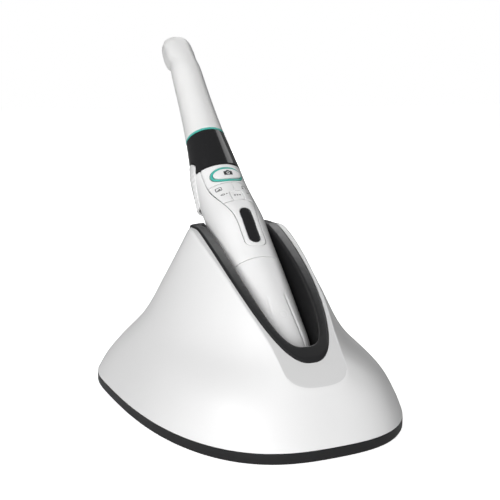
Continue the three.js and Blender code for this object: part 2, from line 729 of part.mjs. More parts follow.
function rearLever() {
  const { wall, pinAt, pinBehind } = LEVER;
  const hood = leverForm(0).subtract(leverForm(wall)).intersect(leverRegion(0));
  const lug = box(-2.9, 2.9, pinBehind - 1.5, 15.2, pinAt - 1.5, pinAt + 1.5);
  const bore = rodAlongX(0.95, 9, pinBehind, pinAt);
  return cut(union(hood, lug), bore);
}

function leverPin() {
  return rodAlongX(0.9, 5.6, LEVER.pinBehind, LEVER.pinAt);
}

function leverSpring() {
  return spring(1.4, 0.25, 3.2, 3).rotate([-90, 0, 0]).translate([0, 11.5, LEVER_SPRING_AT]);
}

// ---------------------------------------------------------------- neck pieces

// The lever's recess as the neck sees it, from the neck's own frame.
function recessInNeck() {
  return leverRecess().translate([0, -NECK_BEHIND, -BODY_TOP]).rotate([-THREE.MathUtils.radToDeg(NECK_BEND), 0, 0]);
}

function blackBand() {
  const cone = [[10.7, GAP], [12.6, GAP], [10.05, BAND_LENGTH], [8.4, BAND_LENGTH], [10.7, GAP]];
  return turned(cone, HAND_SIDES).subtract(recessInNeck());
}

function tealRing() {
  const low = BAND_LENGTH + GAP / 2;
  const high = low + RING_LENGTH;
  return turned([[8.2, low], [10.1, low], [10, high], [8.2, high], [8.2, low]], HAND_SIDES);
}

function neckCore() {
  const { outer, inner, from, to } = CORE;
  return turned([[inner, from], [outer, from], [outer, to], [inner, to], [inner, from]], 28);
}

const neckSection = smoothStations(NECK_SECTIONS);

// How far a superellipse of these half sizes reaches in the direction of angle.
function reachAt(angle, halfWidth, halfDepth, exponent) {
  const across = Math.abs(Math.cos(angle)) / halfWidth;
  const deep = Math.abs(Math.sin(angle)) / halfDepth;
  return (across ** exponent + deep ** exponent) ** (-1 / exponent);
}

function padReach(at, angle, behind) {
  const offCentre = Math.abs(at - PAD.at) / PAD.halfHeight;
  if (offCentre >= 1) return 0;
  const swell = (1 - offCentre ** 3) ** (1 / 3);
  const halfWidth = PAD.halfWidth * swell;
  return Math.sin(angle) < 0
    ? reachAt(angle, halfWidth, 0.75 * halfWidth, 2)
    : reachAt(angle, halfWidth, (PAD.back - behind) * swell, 5);
}

// A ring of the neck's surface, with the round neck and the head's pad melted into each other.
function neckRing(at, inset) {
  const { from, tip, lean, fall, endRound } = HEAD;
  const along = Math.min(1, Math.max(0, (at - from) / (tip - from)));
  const shrink = (1 - along ** fall) ** (1 / fall);
  const behind = lean * (1 - shrink);
  const past = Math.min(1, Math.max(0, (at - tip + endRound) / endRound));
  const close = (1 - past ** 2.2) ** (1 / 2.2);
  return steps(0, 2 * Math.PI, NECK_SIDES).slice(0, -1).map((angle) => {
    const round = neckSection(at).radius * shrink;
    const reach = (round ** 10 + padReach(at, angle, behind) ** 10) ** 0.1;
    const radius = Math.max(reach * close - inset, 0.05);
    return new THREE.Vector3(radius * Math.cos(angle), behind + radius * Math.sin(angle), at);
  });
}

function neckForm(inset, levels) {
  return loft(levels.map((at) => neckRing(at, inset)));
}

function neckCover() {
  const shaft = [23.8, 36, 50, 64, 69.6];
  const head = [70.4, 71.5, 74, 79, 84, 87.2, 89.4, 91, 91.9];
  const skin = neckForm(0, [...shaft, ...head]);
  const bore = neckForm(NECK_WALL, [20, ...shaft.slice(1), 73, 79, 84, 88.5]);
  const { at, back } = PAD;
  const { halfWidth, halfHeight } = PANE;
  const paneRoom = superellipse(halfWidth + SEAM, halfHeight + SEAM, 3.5, 16, 0, at);
  const lightWay = superellipse(halfWidth - 0.8, halfHeight - 0.8, 3.5, 16, 0, at);
  return cut(skin, bore, frontPrism(paneRoom, back + 1, 2.4), frontPrism(lightWay, back + 1, 6));
}

function headWindow() {
  const pane = superellipse(PANE.halfWidth - SEAM, PANE.halfHeight - SEAM, 3.5, 16, 0, PAD.at);
  return frontPrism(pane, PAD.back - 0.15, 0.95);
}

function sensorBoard() {
  return box(-4.2, 4.2, -1.2, -0.4, 73.5, 84);
}

function lensBarrel() {
  const steppedBarrel = union(rodAlongY(2, -0.1, 4, 0, PAD.at), rodAlongY(2.4, 3, 6.3, 0, PAD.at));
  return cut(steppedBarrel, rodAlongY(1.5, 5.5, 8, 0, PAD.at));
}

function ledBoard() {
  const plate = box(-3.6, 3.6, 4, 4.6, PAD.at - 4.2, PAD.at + 4.2);
  const leds = [[-2.3, -3.3], [2.3, -3.3], [-2.3, 3.3], [2.3, 3.3]].map(([x, z]) => (
    box(x - 0.8, x + 0.8, 4.4, 5.4, PAD.at + z - 0.8, PAD.at + z + 0.8)
  ));
  return cut(union(plate, ...leds), rodAlongY(2.7, 0, 8, 0, PAD.at, 20));
}

function flexCable() {
  return box(-2.2, 2.2, -0.9, -0.6, -2.5, 73.2);
}

// ---------------------------------------------------------------- assembly

function buildCradle() {
  const cradle = new THREE.Group();
  addPiece(cradle, 'cradle_shell', cradleShell(), MATERIALS.white);
  addPiece(cradle, 'liner_cup', linerCup(), MATERIALS.darkGrey);
  addPiece(cradle, 'base_plate', basePlate(), MATERIALS.rimBlack);
  addPiece(cradle, 'rubber_pad', rubberPad(), MATERIALS.rubber);
  addPiece(cradle, 'ballast_weight', ballastWeight(), MATERIALS.steel);
  addPiece(cradle, 'charging_board', chargingBoard(), MATERIALS.board);
  addPiece(cradle, 'power_socket', powerSocket(), MATERIALS.steel);
  SCREW_PLACES.forEach((place, i) => {
    addPiece(cradle, `base_screw_${i + 1}`, baseScrew(place), MATERIALS.steel);
  });
  addPiece(cradle, 'contact_block', contactBlock(), MATERIALS.chip);
  ['left', 'right'].forEach((side, i) => {
    const x = contactPlaces()[i];
    addPiece(cradle, `charge_pin_${side}`, chargePin(x), MATERIALS.gold);
    addPiece(cradle, `pin_spring_${side}`, pinSpring(x), MATERIALS.steel);
  });
  return cradle;
}

function buildNeck() {
  const neck = new THREE.Group();
  neck.position.set(0, NECK_BEHIND, BODY_TOP);
  neck.rotation.x = NECK_BEND;
  addPiece(neck, 'neck_core', neckCore(), MATERIALS.chip);
  addPiece(neck, 'black_band', blackBand(), MATERIALS.black);
  addPiece(neck, 'teal_ring', tealRing(), MATERIALS.teal);
  addPiece(neck, 'neck_cover', neckCover(), MATERIALS.satinWhite);
  addPiece(neck, 'head_window', headWindow(), MATERIALS.clear);
  addPiece(neck, 'lens_barrel', lensBarrel(), MATERIALS.black);
  addPiece(neck, 'led_board', ledBoard(), MATERIALS.board);
  addPiece(neck, 'sensor_board', sensorBoard(), MATERIALS.board);
  addPiece(neck, 'flex_cable', flexCable(), MATERIALS.gold);
  return neck;
}

function buildHandpiece() {
  const hand = new THREE.Group();
  hand.position.copy(HAND_END);
  hand.rotation.x = -LEAN;
  addPiece(hand, 'lower_cap', lowerCap(), MATERIALS.white);
  addPiece(hand, 'cap_seal', capSeal(), MATERIALS.rubber);
  addPiece(hand, 'body_shell', bodyShell(), MATERIALS.white);
  addPiece(hand, 'fascia_panel', fasciaPanel(), MATERIALS.white);
  addPiece(hand, 'button_ring', buttonRing(), MATERIALS.teal);
  addPiece(hand, 'capture_button', captureButton(), MATERIALS.white);
  addPiece(hand, 'left_key', sideKey('left_key', -1), MATERIALS.white);
  addPiece(hand, 'right_key', sideKey('right_key', 1), MATERIALS.white);
  addPiece(hand, 'mode_key', modeKey(), MATERIALS.white);
  addPiece(hand, 'display_window', displayWindow(), MATERIALS.black);
  addPiece(hand, 'main_board', mainBoard(), MATERIALS.board);
  addPiece(hand, 'radio_module', radioModule(), MATERIALS.steel);
  addPiece(hand, 'capture_switch', tactSwitch(0, BUTTON.at), MATERIALS.chip);
  Object.entries(KEY_STEMS).forEach(([name, [x, z]]) => {
    addPiece(hand, name.replace('key', 'switch'), tactSwitch(x, z), MATERIALS.chip);
  });
  addPiece(hand, 'battery_cell', batteryCell(), MATERIALS.cell);
  addPiece(hand, 'contact_pad_left', contactPad(-CONTACT_OFFSET), MATERIALS.gold);
  addPiece(hand, 'contact_pad_right', contactPad(CONTACT_OFFSET), MATERIALS.gold);
  addPiece(hand, 'rear_lever', rearLever(), MATERIALS.white);
  addPiece(hand, 'lever_pin', leverPin(), MATERIALS.steel);
  addPiece(hand, 'lever_spring', leverSpring(), MATERIALS.steel);
  hand.add(buildNeck());
  return hand;
}

const assembly = new THREE.Group();
assembly.add(buildCradle(), buildHandpiece());

export default assembly;
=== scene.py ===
"""Looks for a cordless dental camera handpiece leaning in its charging cradle.

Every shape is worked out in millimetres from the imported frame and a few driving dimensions, and is scaled
to metres when its mesh is made. The cradle stands in the frame's own axes. The handpiece and the neck each
have an axis of their own: "at" is a height along it, and an angle goes round it, -90 degrees at the front.
"""

import json
from math import atan2, cos, pi, radians, sin

import bpy
import numpy as np
from mathutils import Matrix, Vector
from mathutils.geometry import delaunay_2d_cdt


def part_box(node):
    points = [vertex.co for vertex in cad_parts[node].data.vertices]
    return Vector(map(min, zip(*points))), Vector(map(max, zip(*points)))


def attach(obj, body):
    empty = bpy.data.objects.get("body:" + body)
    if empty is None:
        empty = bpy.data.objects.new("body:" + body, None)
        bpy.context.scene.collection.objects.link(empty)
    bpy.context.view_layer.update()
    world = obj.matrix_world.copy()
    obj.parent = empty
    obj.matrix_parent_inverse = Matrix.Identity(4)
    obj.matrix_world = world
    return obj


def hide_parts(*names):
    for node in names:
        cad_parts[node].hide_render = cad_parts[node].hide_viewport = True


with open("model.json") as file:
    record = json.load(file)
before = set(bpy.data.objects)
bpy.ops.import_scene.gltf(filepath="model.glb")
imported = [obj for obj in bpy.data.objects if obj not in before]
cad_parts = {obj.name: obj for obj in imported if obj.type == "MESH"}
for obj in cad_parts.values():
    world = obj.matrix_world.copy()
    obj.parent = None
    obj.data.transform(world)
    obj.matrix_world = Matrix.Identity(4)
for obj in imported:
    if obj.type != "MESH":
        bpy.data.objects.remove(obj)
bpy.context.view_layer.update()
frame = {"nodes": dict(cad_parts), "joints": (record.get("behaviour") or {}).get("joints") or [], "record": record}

MM = 0.001


def cad_box(node):
    """The lowest and highest corner of a CAD node, in millimetres."""
    low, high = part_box(node)
    return np.array(low) / MM, np.array(high) / MM


# ---- Driving dimensions

SEAM = 0.13  # half of a hairline seam between two neighbours
RIM_TOP = cad_box("base_plate")[1][2]
RIM_BOTTOM = cad_box("base_plate")[0][2]
CROWN = cad_box("cradle_shell")[1][2]
SHELL_WALL = 2.4
LIP = 1.0  # the round between the slot's face and the cradle's flanks

# Level sections of the cradle: height, half width, front, back, y of the widest place, front and back powers.
CRADLE = [
    (5, 61.6, -88.6, 85, 30, 2.8, 2.4),
    (12, 57.5, -84.2, 80.2, 27, 3, 2.6),
    (22, 51.9, -78.2, 72.4, 23.5, 3, 2.4),
    (36, 42.2, -70.3, 60.7, 19, 2.1, 2.1),
    (56, 33.2, -55, 44, 14, 1.85, 2.2),
    (CROWN, 23.9, -35, 22.8, 8, 1.6, 2.4),
]
CRADLE_COLUMNS = 300
CROWDING = 0.7  # how much closer together the columns stand at the front than at the sides
LIP_AIMS = (-55, 12)  # the lip rounds over towards the middle line, between these two y

# The base: its wall, how far in the pad's recess starts, and the heights of the recess and of the floor.
BASE_WALL, PAD_INSET, PAD_RECESS, BASE_FLOOR = 3.2, 8.7, 1.5, 2.6

# The face the slot is cut in is a large arc in side view that runs out into the flat crown.
ARC_Y, ARC_Z, ARC_RADIUS = 103, -157.3, 256
SLOT_CENTRE_Y = 8
SLOT_INNER = (15, -61, 3)  # half width, y of the tip, power of the curve
SLOT_OUTER = (20.8, -67, 2.5)
SLOT_BACK = 16  # the slot runs back this far; behind, only the round trough goes on
LINER_PROUD = 0.7
LINER_WALL = 2
LINER_DEPTH = 4
FIT = 0.3  # room left round what is set into a shell
CROWN_TURN = 0.9  # how softly the slot's face turns into the crown

# How far the pocket's floor lies under the handpiece's axis, its end and, at least, the slot's face.
UNDER_AXIS, UNDER_END, UNDER_FACE = 0.4, 0.8, 2
TROUGH = [(8.4, -0.8), (10.9, 1.6), (12.8, 8), (13.7, 26), (14.4, 60), (14.4, 130)]  # radius, distance along

# The handpiece leans along the way it slides out, and its seal ring is centred on its axis.
LIFT = next(joint for joint in frame["joints"] if joint["name"] == "handpiece_lift")
LEAN = atan2(LIFT["axis"][1], LIFT["axis"][2])
SEAL_AT = 49.1
HAND_END = sum(cad_box("cap_seal")) / 2 - SEAL_AT * np.array([0, sin(LEAN), cos(LEAN)])
CAP_TOP = 53.4
BODY_TOP = 113.3
BODY_WALL = 1.8
NECK_BEND = radians(7.7)
NECK_BEHIND = 2.5

# The cap's two grooves and the pressed ring between them: depth, half width, and where along the cap.
GROOVE_DEPTH, GROOVE_HALF, GROOVE_FROM, GROOVE_TO = 0.32, 0.5, 5, 34
MARK_DEPTH, MARK_RADIUS, MARK_HALF, MARK_AT = 0.1, 1.6, 0.22, 22.8

# The spigot that plugs the body into the cap, with the seal's groove round it: radius, distance along.
SPIGOT = [(9.4, 46.5), (11, 46.5), (11, 48.2), (10.1, 48.2), (10.1, 50), (11, 50), (11, 54.2), (11.5, 55.9)]
SPIGOT += [(9.4, 55.9)]

# Sections: distance from the lower end, half width, half depth, how far behind the axis, and tilt.
CAP_SECTIONS = [
    (0, 7.4, 7.4, 0, 0),
    (0.7, 8.9, 8.9, 0, 0),
    (2.5, 10.3, 10.3, 0, 0),
    (8, 12, 12, 0, 0),
    (26, 12.8, 12.8, 0, 0),
    (46, 13.1, 13.1, 0, 0),
    (56, 13.1, 13.1, 0, 0),
]
BODY_SECTIONS = [
    (50, 13.1, 13.1, 0, 0),
    (66, 13.1, 13.1, 0, 0),
    (80, 13.3, 13.5, 0.1, 0),
    (88, 13.3, 13.1, 1, 0.02),
    (96, 13.1, 12.6, 1.9, 0.06),
    (104, 12.8, 12.4, 2.4, 0.11),
    (BODY_TOP, 12.6, 12.5, NECK_BEHIND, NECK_BEND),
    (118, 12.1, 12.1, 1.9, NECK_BEND),
    (122, 11.65, 11.65, 1.35, NECK_BEND),
]
FRONT = -pi / 2
BACK = pi / 2

# Front panel and what sits in it: heights above the lower end, half widths from the centre line.
FASCIA_BOTTOM, FASCIA_NARROW, FASCIA_WIDE, FASCIA_CORNER = 59.6, 5.3, 10.7, 3.6
FLARE_FROM, FLARE_TO = 72, 102
FASCIA_DEPTH = 2
BUTTON_AT = 105.1
RING_WIDTH, RING_HEIGHT = 8.4, 4.4
BUTTON_WIDTH, BUTTON_HEIGHT, BUTTON_PROUD = 7.1, 3.1, 0.8
OVAL_POWER = 2.4
KEY_PROUD, RING_PROUD, WINDOW_PROUD = 0.08, 0.18, 0.06  # how far each stands out of the front panel
KEYPAD_BOTTOM, KEYPAD_TOP, KEYPAD_DEPTH, KEY_THICKNESS = 87.3, 99.7, 1.25, 0.75
MODE_WIDTH, MODE_TOP, MODE_CORNER = 3.1, 93.4, 0.8
STEM_END = -7.05  # the y at which the posts behind the keys end
STEMS = {
    "capture_button": (0, BUTTON_AT),
    "left_key": (-4.7, 95.5),
    "right_key": (4.7, 95.5),
    "mode_key": (0, 90.4),
}
PRINT = 0.05  # how far a printed mark stands above its key
WINDOW_WIDTH, WINDOW_BOTTOM, WINDOW_TOP = 2.9, 61.6, 81.8

# Neck: distance from its foot, and radius. The head's front falls away, and a flat-backed pad swells out.
BAND_LENGTH, BAND_FOOT, BAND_HEAD = 22.4, 12.6, 10.05
RING_LENGTH = 1
NECK_FOOT = 23.8
NECK_SECTIONS = [(NECK_FOOT, 9.9), (36, 9.1), (48, 8.5), (63, 8), (73, 7.75), (93, 7.75)]
NECK_WALL = 1.3
FALL_FROM, TIP, TIP_LEAN, FALL_POWER, TIP_ROUND = 64.6, 92.2, 5, 1.6, 5
PAD_AT, PAD_WIDTH, PAD_HEIGHT, PAD_BACK = 80.5, 7.6, 10.75, 9.3
PANE_WIDTH, PANE_HEIGHT, PANE_POWER = 4.6, 7, 3.5

# Rear lever: its ends, the y of its front edge at each end, wall, how proud it stands, and its play.
LEVER_FROM, LEVER_TO, LEVER_FRONT_LOW, LEVER_FRONT_HIGH = 97, 121, 5, -2
LEVER_WALL, LEVER_HIGH, LEVER_LOW, LEVER_PLAY = 1, 0.3, 1.9, 0.5
LEVER_CORNER = 5  # the turn between its front edge and its top
LEVER_FADE = 3.5  # its outer face rises to its full height this far behind its front edge
LEVER_PIN_AT = 107.8
LEVER_PIN_BEHIND = 11.2
LEVER_TURN = 12  # points round the corner
RIDGE_HEIGHT, RIDGE_PITCH = 0.16, 2.6
LUG_WIDTH, LUG_HEIGHT, LUG_BACK, PIN_BORE = 2.9, 1.5, 14.6, 0.95
SPRING_AT, SPRING_BORE = 100.5, 2.05

CAMERA_PLACE, CAMERA_TURN, CAMERA_FALL, CAMERA_LENS = (-0.1746, -0.3835, 0.145), 24.79, 10.07, 65.5


# ---- Numbers and curves

def smooth(rows):
    """A smooth curve through rows of stations, looked up by the first number of each row."""
    rows = np.array(rows, float)
    places, values = rows[:, 0], rows[:, 1:]
    last = len(places) - 1

    def lookup(place):
        place = np.clip(np.asarray(place, float), places[0], places[-1])
        high = np.clip(np.searchsorted(places, place, side="right"), 1, last)
        low = high - 1
        before = np.where(low > 0, low - 1, high)
        after = np.where(high < last, high + 1, low)
        half = (places[high] - places[low]) / 2
        p = (place - places[low]) / (2 * half)
        w = half / (places[low] - places[before])
        v = half / (places[after] - places[high])
        from_before = -w * p**3 + 2 * w * p**2 - w * p
        from_low = (1 + w) * p**3 - (1.5 + 2 * w) * p**2 + (w - 0.5) * p + 1
        from_high = -(1 + v) * p**3 + (1.5 + v) * p**2 + 0.5 * p
        from_after = v * p**3 - v * p**2
        parts = [(from_before, before), (from_low, low), (from_high, high), (from_after, after)]
        return sum(weight[..., None] * values[index] for weight, index in parts)

    return lookup


def reach_at(angle, half_width, half_depth, power, soften=0.0):
    """How far a superellipse of these half sizes reaches in the direction of angle."""
    across = np.sqrt(np.cos(angle) ** 2 + soften**2) / half_width
    deep = np.sqrt(np.sin(angle) ** 2 + soften**2) / half_depth
    return (across**power + deep**power) ** (-1 / power)


def all_round(count):
    return np.linspace(0, 2 * pi, count, endpoint=False)


def bend(start, corner, end, t):
    """A curve from start to end that is drawn towards corner."""
    return (1 - t) ** 2 * start + 2 * t * (1 - t) * corner + t**2 * end


def arc(x, y, radius, start, end, count=8):
    angles = np.linspace(radians(start), radians(end), count)
    return np.stack([x + radius * np.cos(angles), y + radius * np.sin(angles)], -1)


def round_box(left, right, bottom, top, radius):
    return np.concatenate([
        arc(right - radius, bottom + radius, radius, -90, 0),
        arc(right - radius, top - radius, radius, 0, 90),
        arc(left + radius, top - radius, radius, 90, 180),
        arc(left + radius, bottom + radius, radius, 180, 270),
    ])


def oval(half_width, half_height, power, x=0.0, y=0.0, count=96):
    angle = all_round(count)
    reach = reach_at(angle, half_width, half_height, power)
    return np.stack([x + reach * np.cos(angle), y + reach * np.sin(angle)], -1)


def even(loop, spacing):
    """The same closed outline with its points spread evenly."""
    closed = np.concatenate([loop, loop[:1]])
    lengths = np.concatenate([[0], np.cumsum(np.linalg.norm(np.diff(closed, axis=0), axis=1))])
    count = max(8, int(round(lengths[-1] / spacing)))
    where = np.linspace(0, lengths[-1], count, endpoint=False)
    return np.stack([np.interp(where, lengths, closed[:, axis]) for axis in (0, 1)], -1)


def inset_loop(loop, distance):
    """The outline moved to its left by distance: inwards, for an anticlockwise one."""
    ahead = np.roll(loop, -1, axis=0) - loop
    ahead = ahead / np.maximum(np.linalg.norm(ahead, axis=1), 1e-9)[:, None]
    behind = np.roll(ahead, 1, axis=0)
    along = ahead + behind
    along = along / np.maximum(np.linalg.norm(along, axis=1), 1e-9)[:, None]
    normal = np.stack([-along[:, 1], along[:, 0]], -1)
    lean = np.clip((along * ahead).sum(1), 0.5, 1)
    return untangled(loop + normal * (distance / lean)[:, None], ahead)


def untangled(loop, ahead):
    """Draws together the ends of any edge that now runs against its first direction, as at a sharp corner."""
    for _ in range(4):
        edge = np.roll(loop, -1, axis=0) - loop
        for i in np.flatnonzero((edge * ahead).sum(1) < 0):
            following = (i + 1) % len(loop)
            loop[i] = loop[following] = (loop[i] + loop[following]) / 2
    return loop


def inside(points, loops):
    """Which points lie within an odd number of these outlines."""
    odd = np.zeros(len(points), bool)
    for loop in loops:
        x0, y0 = loop[:, 0], loop[:, 1]
        x1, y1 = np.roll(x0, -1), np.roll(y0, -1)
        px, py = points[:, 0, None], points[:, 1, None]
        spans = (y0 > py) != (y1 > py)
        run = np.where(y1 == y0, 1e-12, y1 - y0)
        odd ^= (spans & (px < x0 + (x1 - x0) * (py - y0) / run)).sum(1) % 2 == 1
    return odd


# ---- Meshes

def ring_faces(rings, sides, wrap=False):
    """Quads between neighbouring rings of points, and from the last back to the first if they wrap."""
    faces = []
    for r in range(rings if wrap else rings - 1):
        low, high = r * sides, (r + 1) % rings * sides
        for i in range(sides):
            j = (i + 1) % sides
            faces.append((low + i, low + j, high + j, high + i))
    return faces


def loft(rings, wrap=False, flat_ends=True):
    """A closed skin over rings, anticlockwise seen from the last. Mirror-image ends close in strips."""
    rings = np.array(rings, float)
    count, sides = rings.shape[:2]
    faces = ring_faces(count, sides, wrap)
    if not wrap and flat_ends:
        faces += [tuple(range(sides))[::-1], tuple((count - 1) * sides + i for i in range(sides))]
    elif not wrap:
        faces += strip_faces(0, sides, turned_over=True) + strip_faces((count - 1) * sides, sides)
    return rings.reshape(-1, 3), faces


def strip_faces(start, sides, turned_over=False):
    """Closes a mirror-image ring, whose first point is on the mirror plane, with strips straight across."""
    faces = []
    for i in range(sides // 2):
        corners = [i, i + 1, sides - i - 1, (sides - i) % sides]
        distinct = [start + c for k, c in enumerate(corners) if c not in corners[:k]]
        faces.append(tuple(distinct[::-1] if turned_over else distinct))
    return faces


def joined(*shapes):
    points, faces, start = [], [], 0
    for shape_points, shape_faces in shapes:
        points.append(shape_points)
        faces += [tuple(start + corner for corner in face) for face in shape_faces]
        start += len(shape_points)
    return np.concatenate(points), faces


def box(x0, x1, y0, y1, z0, z1):
    outline = [(x0, y0), (x1, y0), (x1, y1), (x0, y1)]
    return loft([[(x, y, z) for x, y in outline] for z in (z0, z1)])


def turned(profile, sides=96, closed=False):
    """A solid of revolution about z from (radius, z) pairs, inside edge first if it closes on itself."""
    angle = all_round(sides)
    rings = [np.stack([r * np.cos(angle), r * np.sin(angle), np.full(sides, z)], -1) for r, z in profile]
    return loft(rings, wrap=closed)


def rod(radius, z0, z1, x=0.0):
    points, faces = turned([(radius, z0), (radius, z1)], 32)
    return points + np.array([x, 0, 0]), faces


def standing(loop, y0, y1):
    """A prism on an outline drawn in x and z, from y0 at the front to y1 behind it."""
    near = np.stack([loop[:, 0], np.full(len(loop), y1), loop[:, 1]], -1)
    far = np.stack([loop[:, 0], np.full(len(loop), y0), loop[:, 1]], -1)
    return loft([near, far])


HAND = Matrix.Translation(HAND_END) @ Matrix.Rotation(-LEAN, 4, "X")
NECK_IN_HAND = Matrix.Translation((0, NECK_BEHIND, BODY_TOP)) @ Matrix.Rotation(NECK_BEND, 4, "X")
NECK = HAND @ NECK_IN_HAND


def placed(shape, matrix):
    points, faces = shape
    matrix = np.array(matrix)
    return points @ matrix[:3, :3].T + matrix[:3, 3], faces


def in_scene(name, data):
    obj = bpy.data.objects.new(name, data)
    bpy.context.scene.collection.objects.link(obj)
    return obj


def solid(shape, name="cutter"):
    """A Blender object, in metres, from a shape in millimetres."""
    points, faces = shape
    mesh = bpy.data.meshes.new(name)
    mesh.from_pydata((np.array(points) * MM).tolist(), [], faces)
    return in_scene(name, mesh)


def carve(obj, operation, *shapes):
    """Joins (UNION), cuts (DIFFERENCE) or keeps the shared part (INTERSECT) of obj and each shape in turn."""
    for shape in shapes:
        tool = shape if isinstance(shape, bpy.types.Object) else solid(shape)
        modifier = obj.modifiers.new("carve", "BOOLEAN")
        modifier.operation = operation
        modifier.solver = "EXACT"
        modifier.object = tool
        graph = bpy.context.evaluated_depsgraph_get()
        result = bpy.data.meshes.new_from_object(obj.evaluated_get(graph))
        obj.modifiers.clear()
        obj.data = result
        bpy.data.objects.remove(tool)
    return obj


def piece(name, made, body, material, slot, *nodes, crease=32):
    """Makes a finished piece that rides on a body and stands for CAD nodes."""
    obj = made if isinstance(made, bpy.types.Object) else solid(made, name)
    obj.name = name
    obj.data.materials.clear()
    obj.data.materials.append(material)
    obj.data.shade_smooth()
    obj.data.set_sharp_from_angle(angle=radians(crease))
    weighted = obj.modifiers.new("flat faces stay flat", "WEIGHTED_NORMAL")
    weighted.keep_sharp = True
    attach(obj, body)
    if nodes:
        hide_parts(*nodes)
    return obj


def fillet(radius, steps=4):
    """(distance in from the edge, distance below the face) pairs round an edge, starting on the face."""
    turns = np.linspace(0, pi / 2, steps)
    return [(radius * (1 - sin(t)), radius * (1 - cos(t))) for t in turns]


def outline_edges(loops):
    """The pairs of neighbouring points round each outline, numbered from one outline to the next."""
    edges, start = [], 0
    for loop in loops:
        count = len(loop)
        edges += [(start + i, start + (i + 1) % count) for i in range(count)]
        start += count
    return edges


def grid_within(loops, low, high, spacing):
    """Evenly spread points within these outlines, but not close to them."""
    u, v = np.meshgrid(np.arange(low[0], high[0], spacing), np.arange(low[1], high[1], spacing))
    grid = np.stack([u.ravel(), v.ravel()], -1)
    grid = grid[inside(grid, loops)]
    if len(grid):
        nearest = np.linalg.norm(grid[:, None] - np.concatenate(loops)[None], axis=2).min(1)
        grid = grid[nearest > 0.55 * spacing]
    return grid


def triangles_within(points, edges, loops):
    found = delaunay_2d_cdt([Vector(p) for p in points.tolist()], edges, [], 0, 1e-7)
    index = [originals[0] for originals in found[3]]
    triangles = np.array([[index[c] for c in face] for face in found[2]])
    return triangles[inside(points[triangles].mean(1), loops)].tolist()


def panel(surface, loops, depth, rounding, spacing):
    """A plate on a surface, with rounded edges. surface(u, v, depth) gives points. The outline comes first,
    anticlockwise, then its holes, clockwise."""
    face_edge, *lower_edges = fillet(rounding)
    face_loops = [inset_loop(loop, face_edge[0]) for loop in loops]
    edges = outline_edges(loops)
    grid = grid_within(face_loops, loops[0].min(0), loops[0].max(0), spacing)
    flat = np.concatenate([*face_loops, grid])
    triangles = triangles_within(flat, edges, face_loops)

    layers = [surface(flat[:, 0], flat[:, 1], 0.0)]
    faces = [tuple(t) for t in triangles]
    previous, total = 0, len(flat)
    for distance, below in lower_edges + [(0.0, depth)]:
        ring = np.concatenate([inset_loop(loop, distance) for loop in loops])
        if below == depth:
            ring = np.concatenate([ring, grid])
        layers.append(surface(ring[:, 0], ring[:, 1], below))
        faces += [(total + a, total + b, previous + b, previous + a) for a, b in edges]
        previous = total
        total += len(ring)
    faces += [tuple(previous + corner for corner in t[::-1]) for t in triangles]
    return np.concatenate(layers), faces


# ---- Cradle forms

cradle_section = smooth(CRADLE)


def cradle_point(z, angle, inset):
    """Points of the cradle's skin, moved in by inset, at these heights and directions."""
    half_width, front, back, widest, front_power, back_power = np.moveaxis(cradle_section(z), -1, 0)
    in_front = np.sin(angle) < 0
    reach = np.where(in_front, widest - front, back - widest) - inset
    power = np.where(in_front, front_power, back_power)
    radius = reach_at(angle, half_width - inset, reach, power, soften=0.05)
    return np.stack([radius * np.cos(angle), widest + radius * np.sin(angle), z + 0 * angle], -1)


def slot_face(y, lift=0.0):
    """The height of the face the slot is cut in, raised by lift, with a soft turn into the crown."""
    arc_height = ARC_Z + np.sqrt((ARC_RADIUS + lift) ** 2 - (np.minimum(y, ARC_Y) - ARC_Y) ** 2)
    flat = CROWN + lift
    return (arc_height + flat) / 2 - np.sqrt((arc_height - flat) ** 2 + CROWN_TURN**2) / 2


def columns():
    """Directions round the cradle, starting at the front, where they crowd together."""
    turn = all_round(CRADLE_COLUMNS)
    return FRONT + turn - CROWDING * np.sin(turn)


def top_of_columns(angle, inset, lift):
    """The height at which each column of the skin meets the slot's face."""
    low, high = np.full(len(angle), RIM_TOP), np.full(len(angle), CROWN + abs(lift) + 1)
    for _ in range(40):
        middle = (low + high) / 2
        above = middle > slot_face(cradle_point(middle, angle, inset)[:, 1], lift)
        high = np.where(above, middle, high)
        low = np.where(above, low, middle)
    return (low + high) / 2


def lip_rings(below, corner, lift, lip):
    """Rings that round the edge over, from the ring below it past its corner on to the slot's face."""
    centre = np.stack([0 * corner[:, 0], np.clip(corner[:, 1], *LIP_AIMS)], -1)
    inward = centre - corner[:, :2]
    inner = corner.copy()
    inner[:, :2] += lip * inward / np.linalg.norm(inward, axis=1)[:, None]
    inner[:, 2] = slot_face(inner[:, 1], lift)
    return [bend(below, corner, inner, t) for t in np.linspace(0, 1, 7)[1:]]


def cradle_solid(inset, lift, bottom, lip=0.0, levels=44):
    """The cradle's form up to the slot's face, with an edge rounded by lip."""
    angle = columns()
    top = top_of_columns(angle, inset, lift)
    shares = np.linspace(0, 1, levels)
    rings = [cradle_point(bottom + (top - lip - bottom) * share, angle, inset) for share in shares]
    if lip:
        rings += lip_rings(rings[-1], cradle_point(top, angle, inset), lift, lip)
    return loft(rings, flat_ends=False)


def slot_plan(size, grow, back):
    """The slot in plan, starting at its tip: a curve in front, straight behind its centre."""
    half_width, tip, power = size
    turn = np.linspace(0, pi / 2, 36)
    x = (half_width + grow) * np.sin(turn) ** (2 / power)
    y = SLOT_CENTRE_Y - (SLOT_CENTRE_Y - tip + grow) * np.cos(turn) ** (2 / power)
    straight = np.linspace(SLOT_CENTRE_Y, back, 24)[1:]
    x = np.concatenate([x, np.full(len(straight), half_width + grow), [0]])
    y = np.concatenate([y, straight, [back]])
    right = np.stack([x, y], -1)
    left = right[-2:0:-1] * np.array([-1, 1])
    return np.concatenate([right, left])


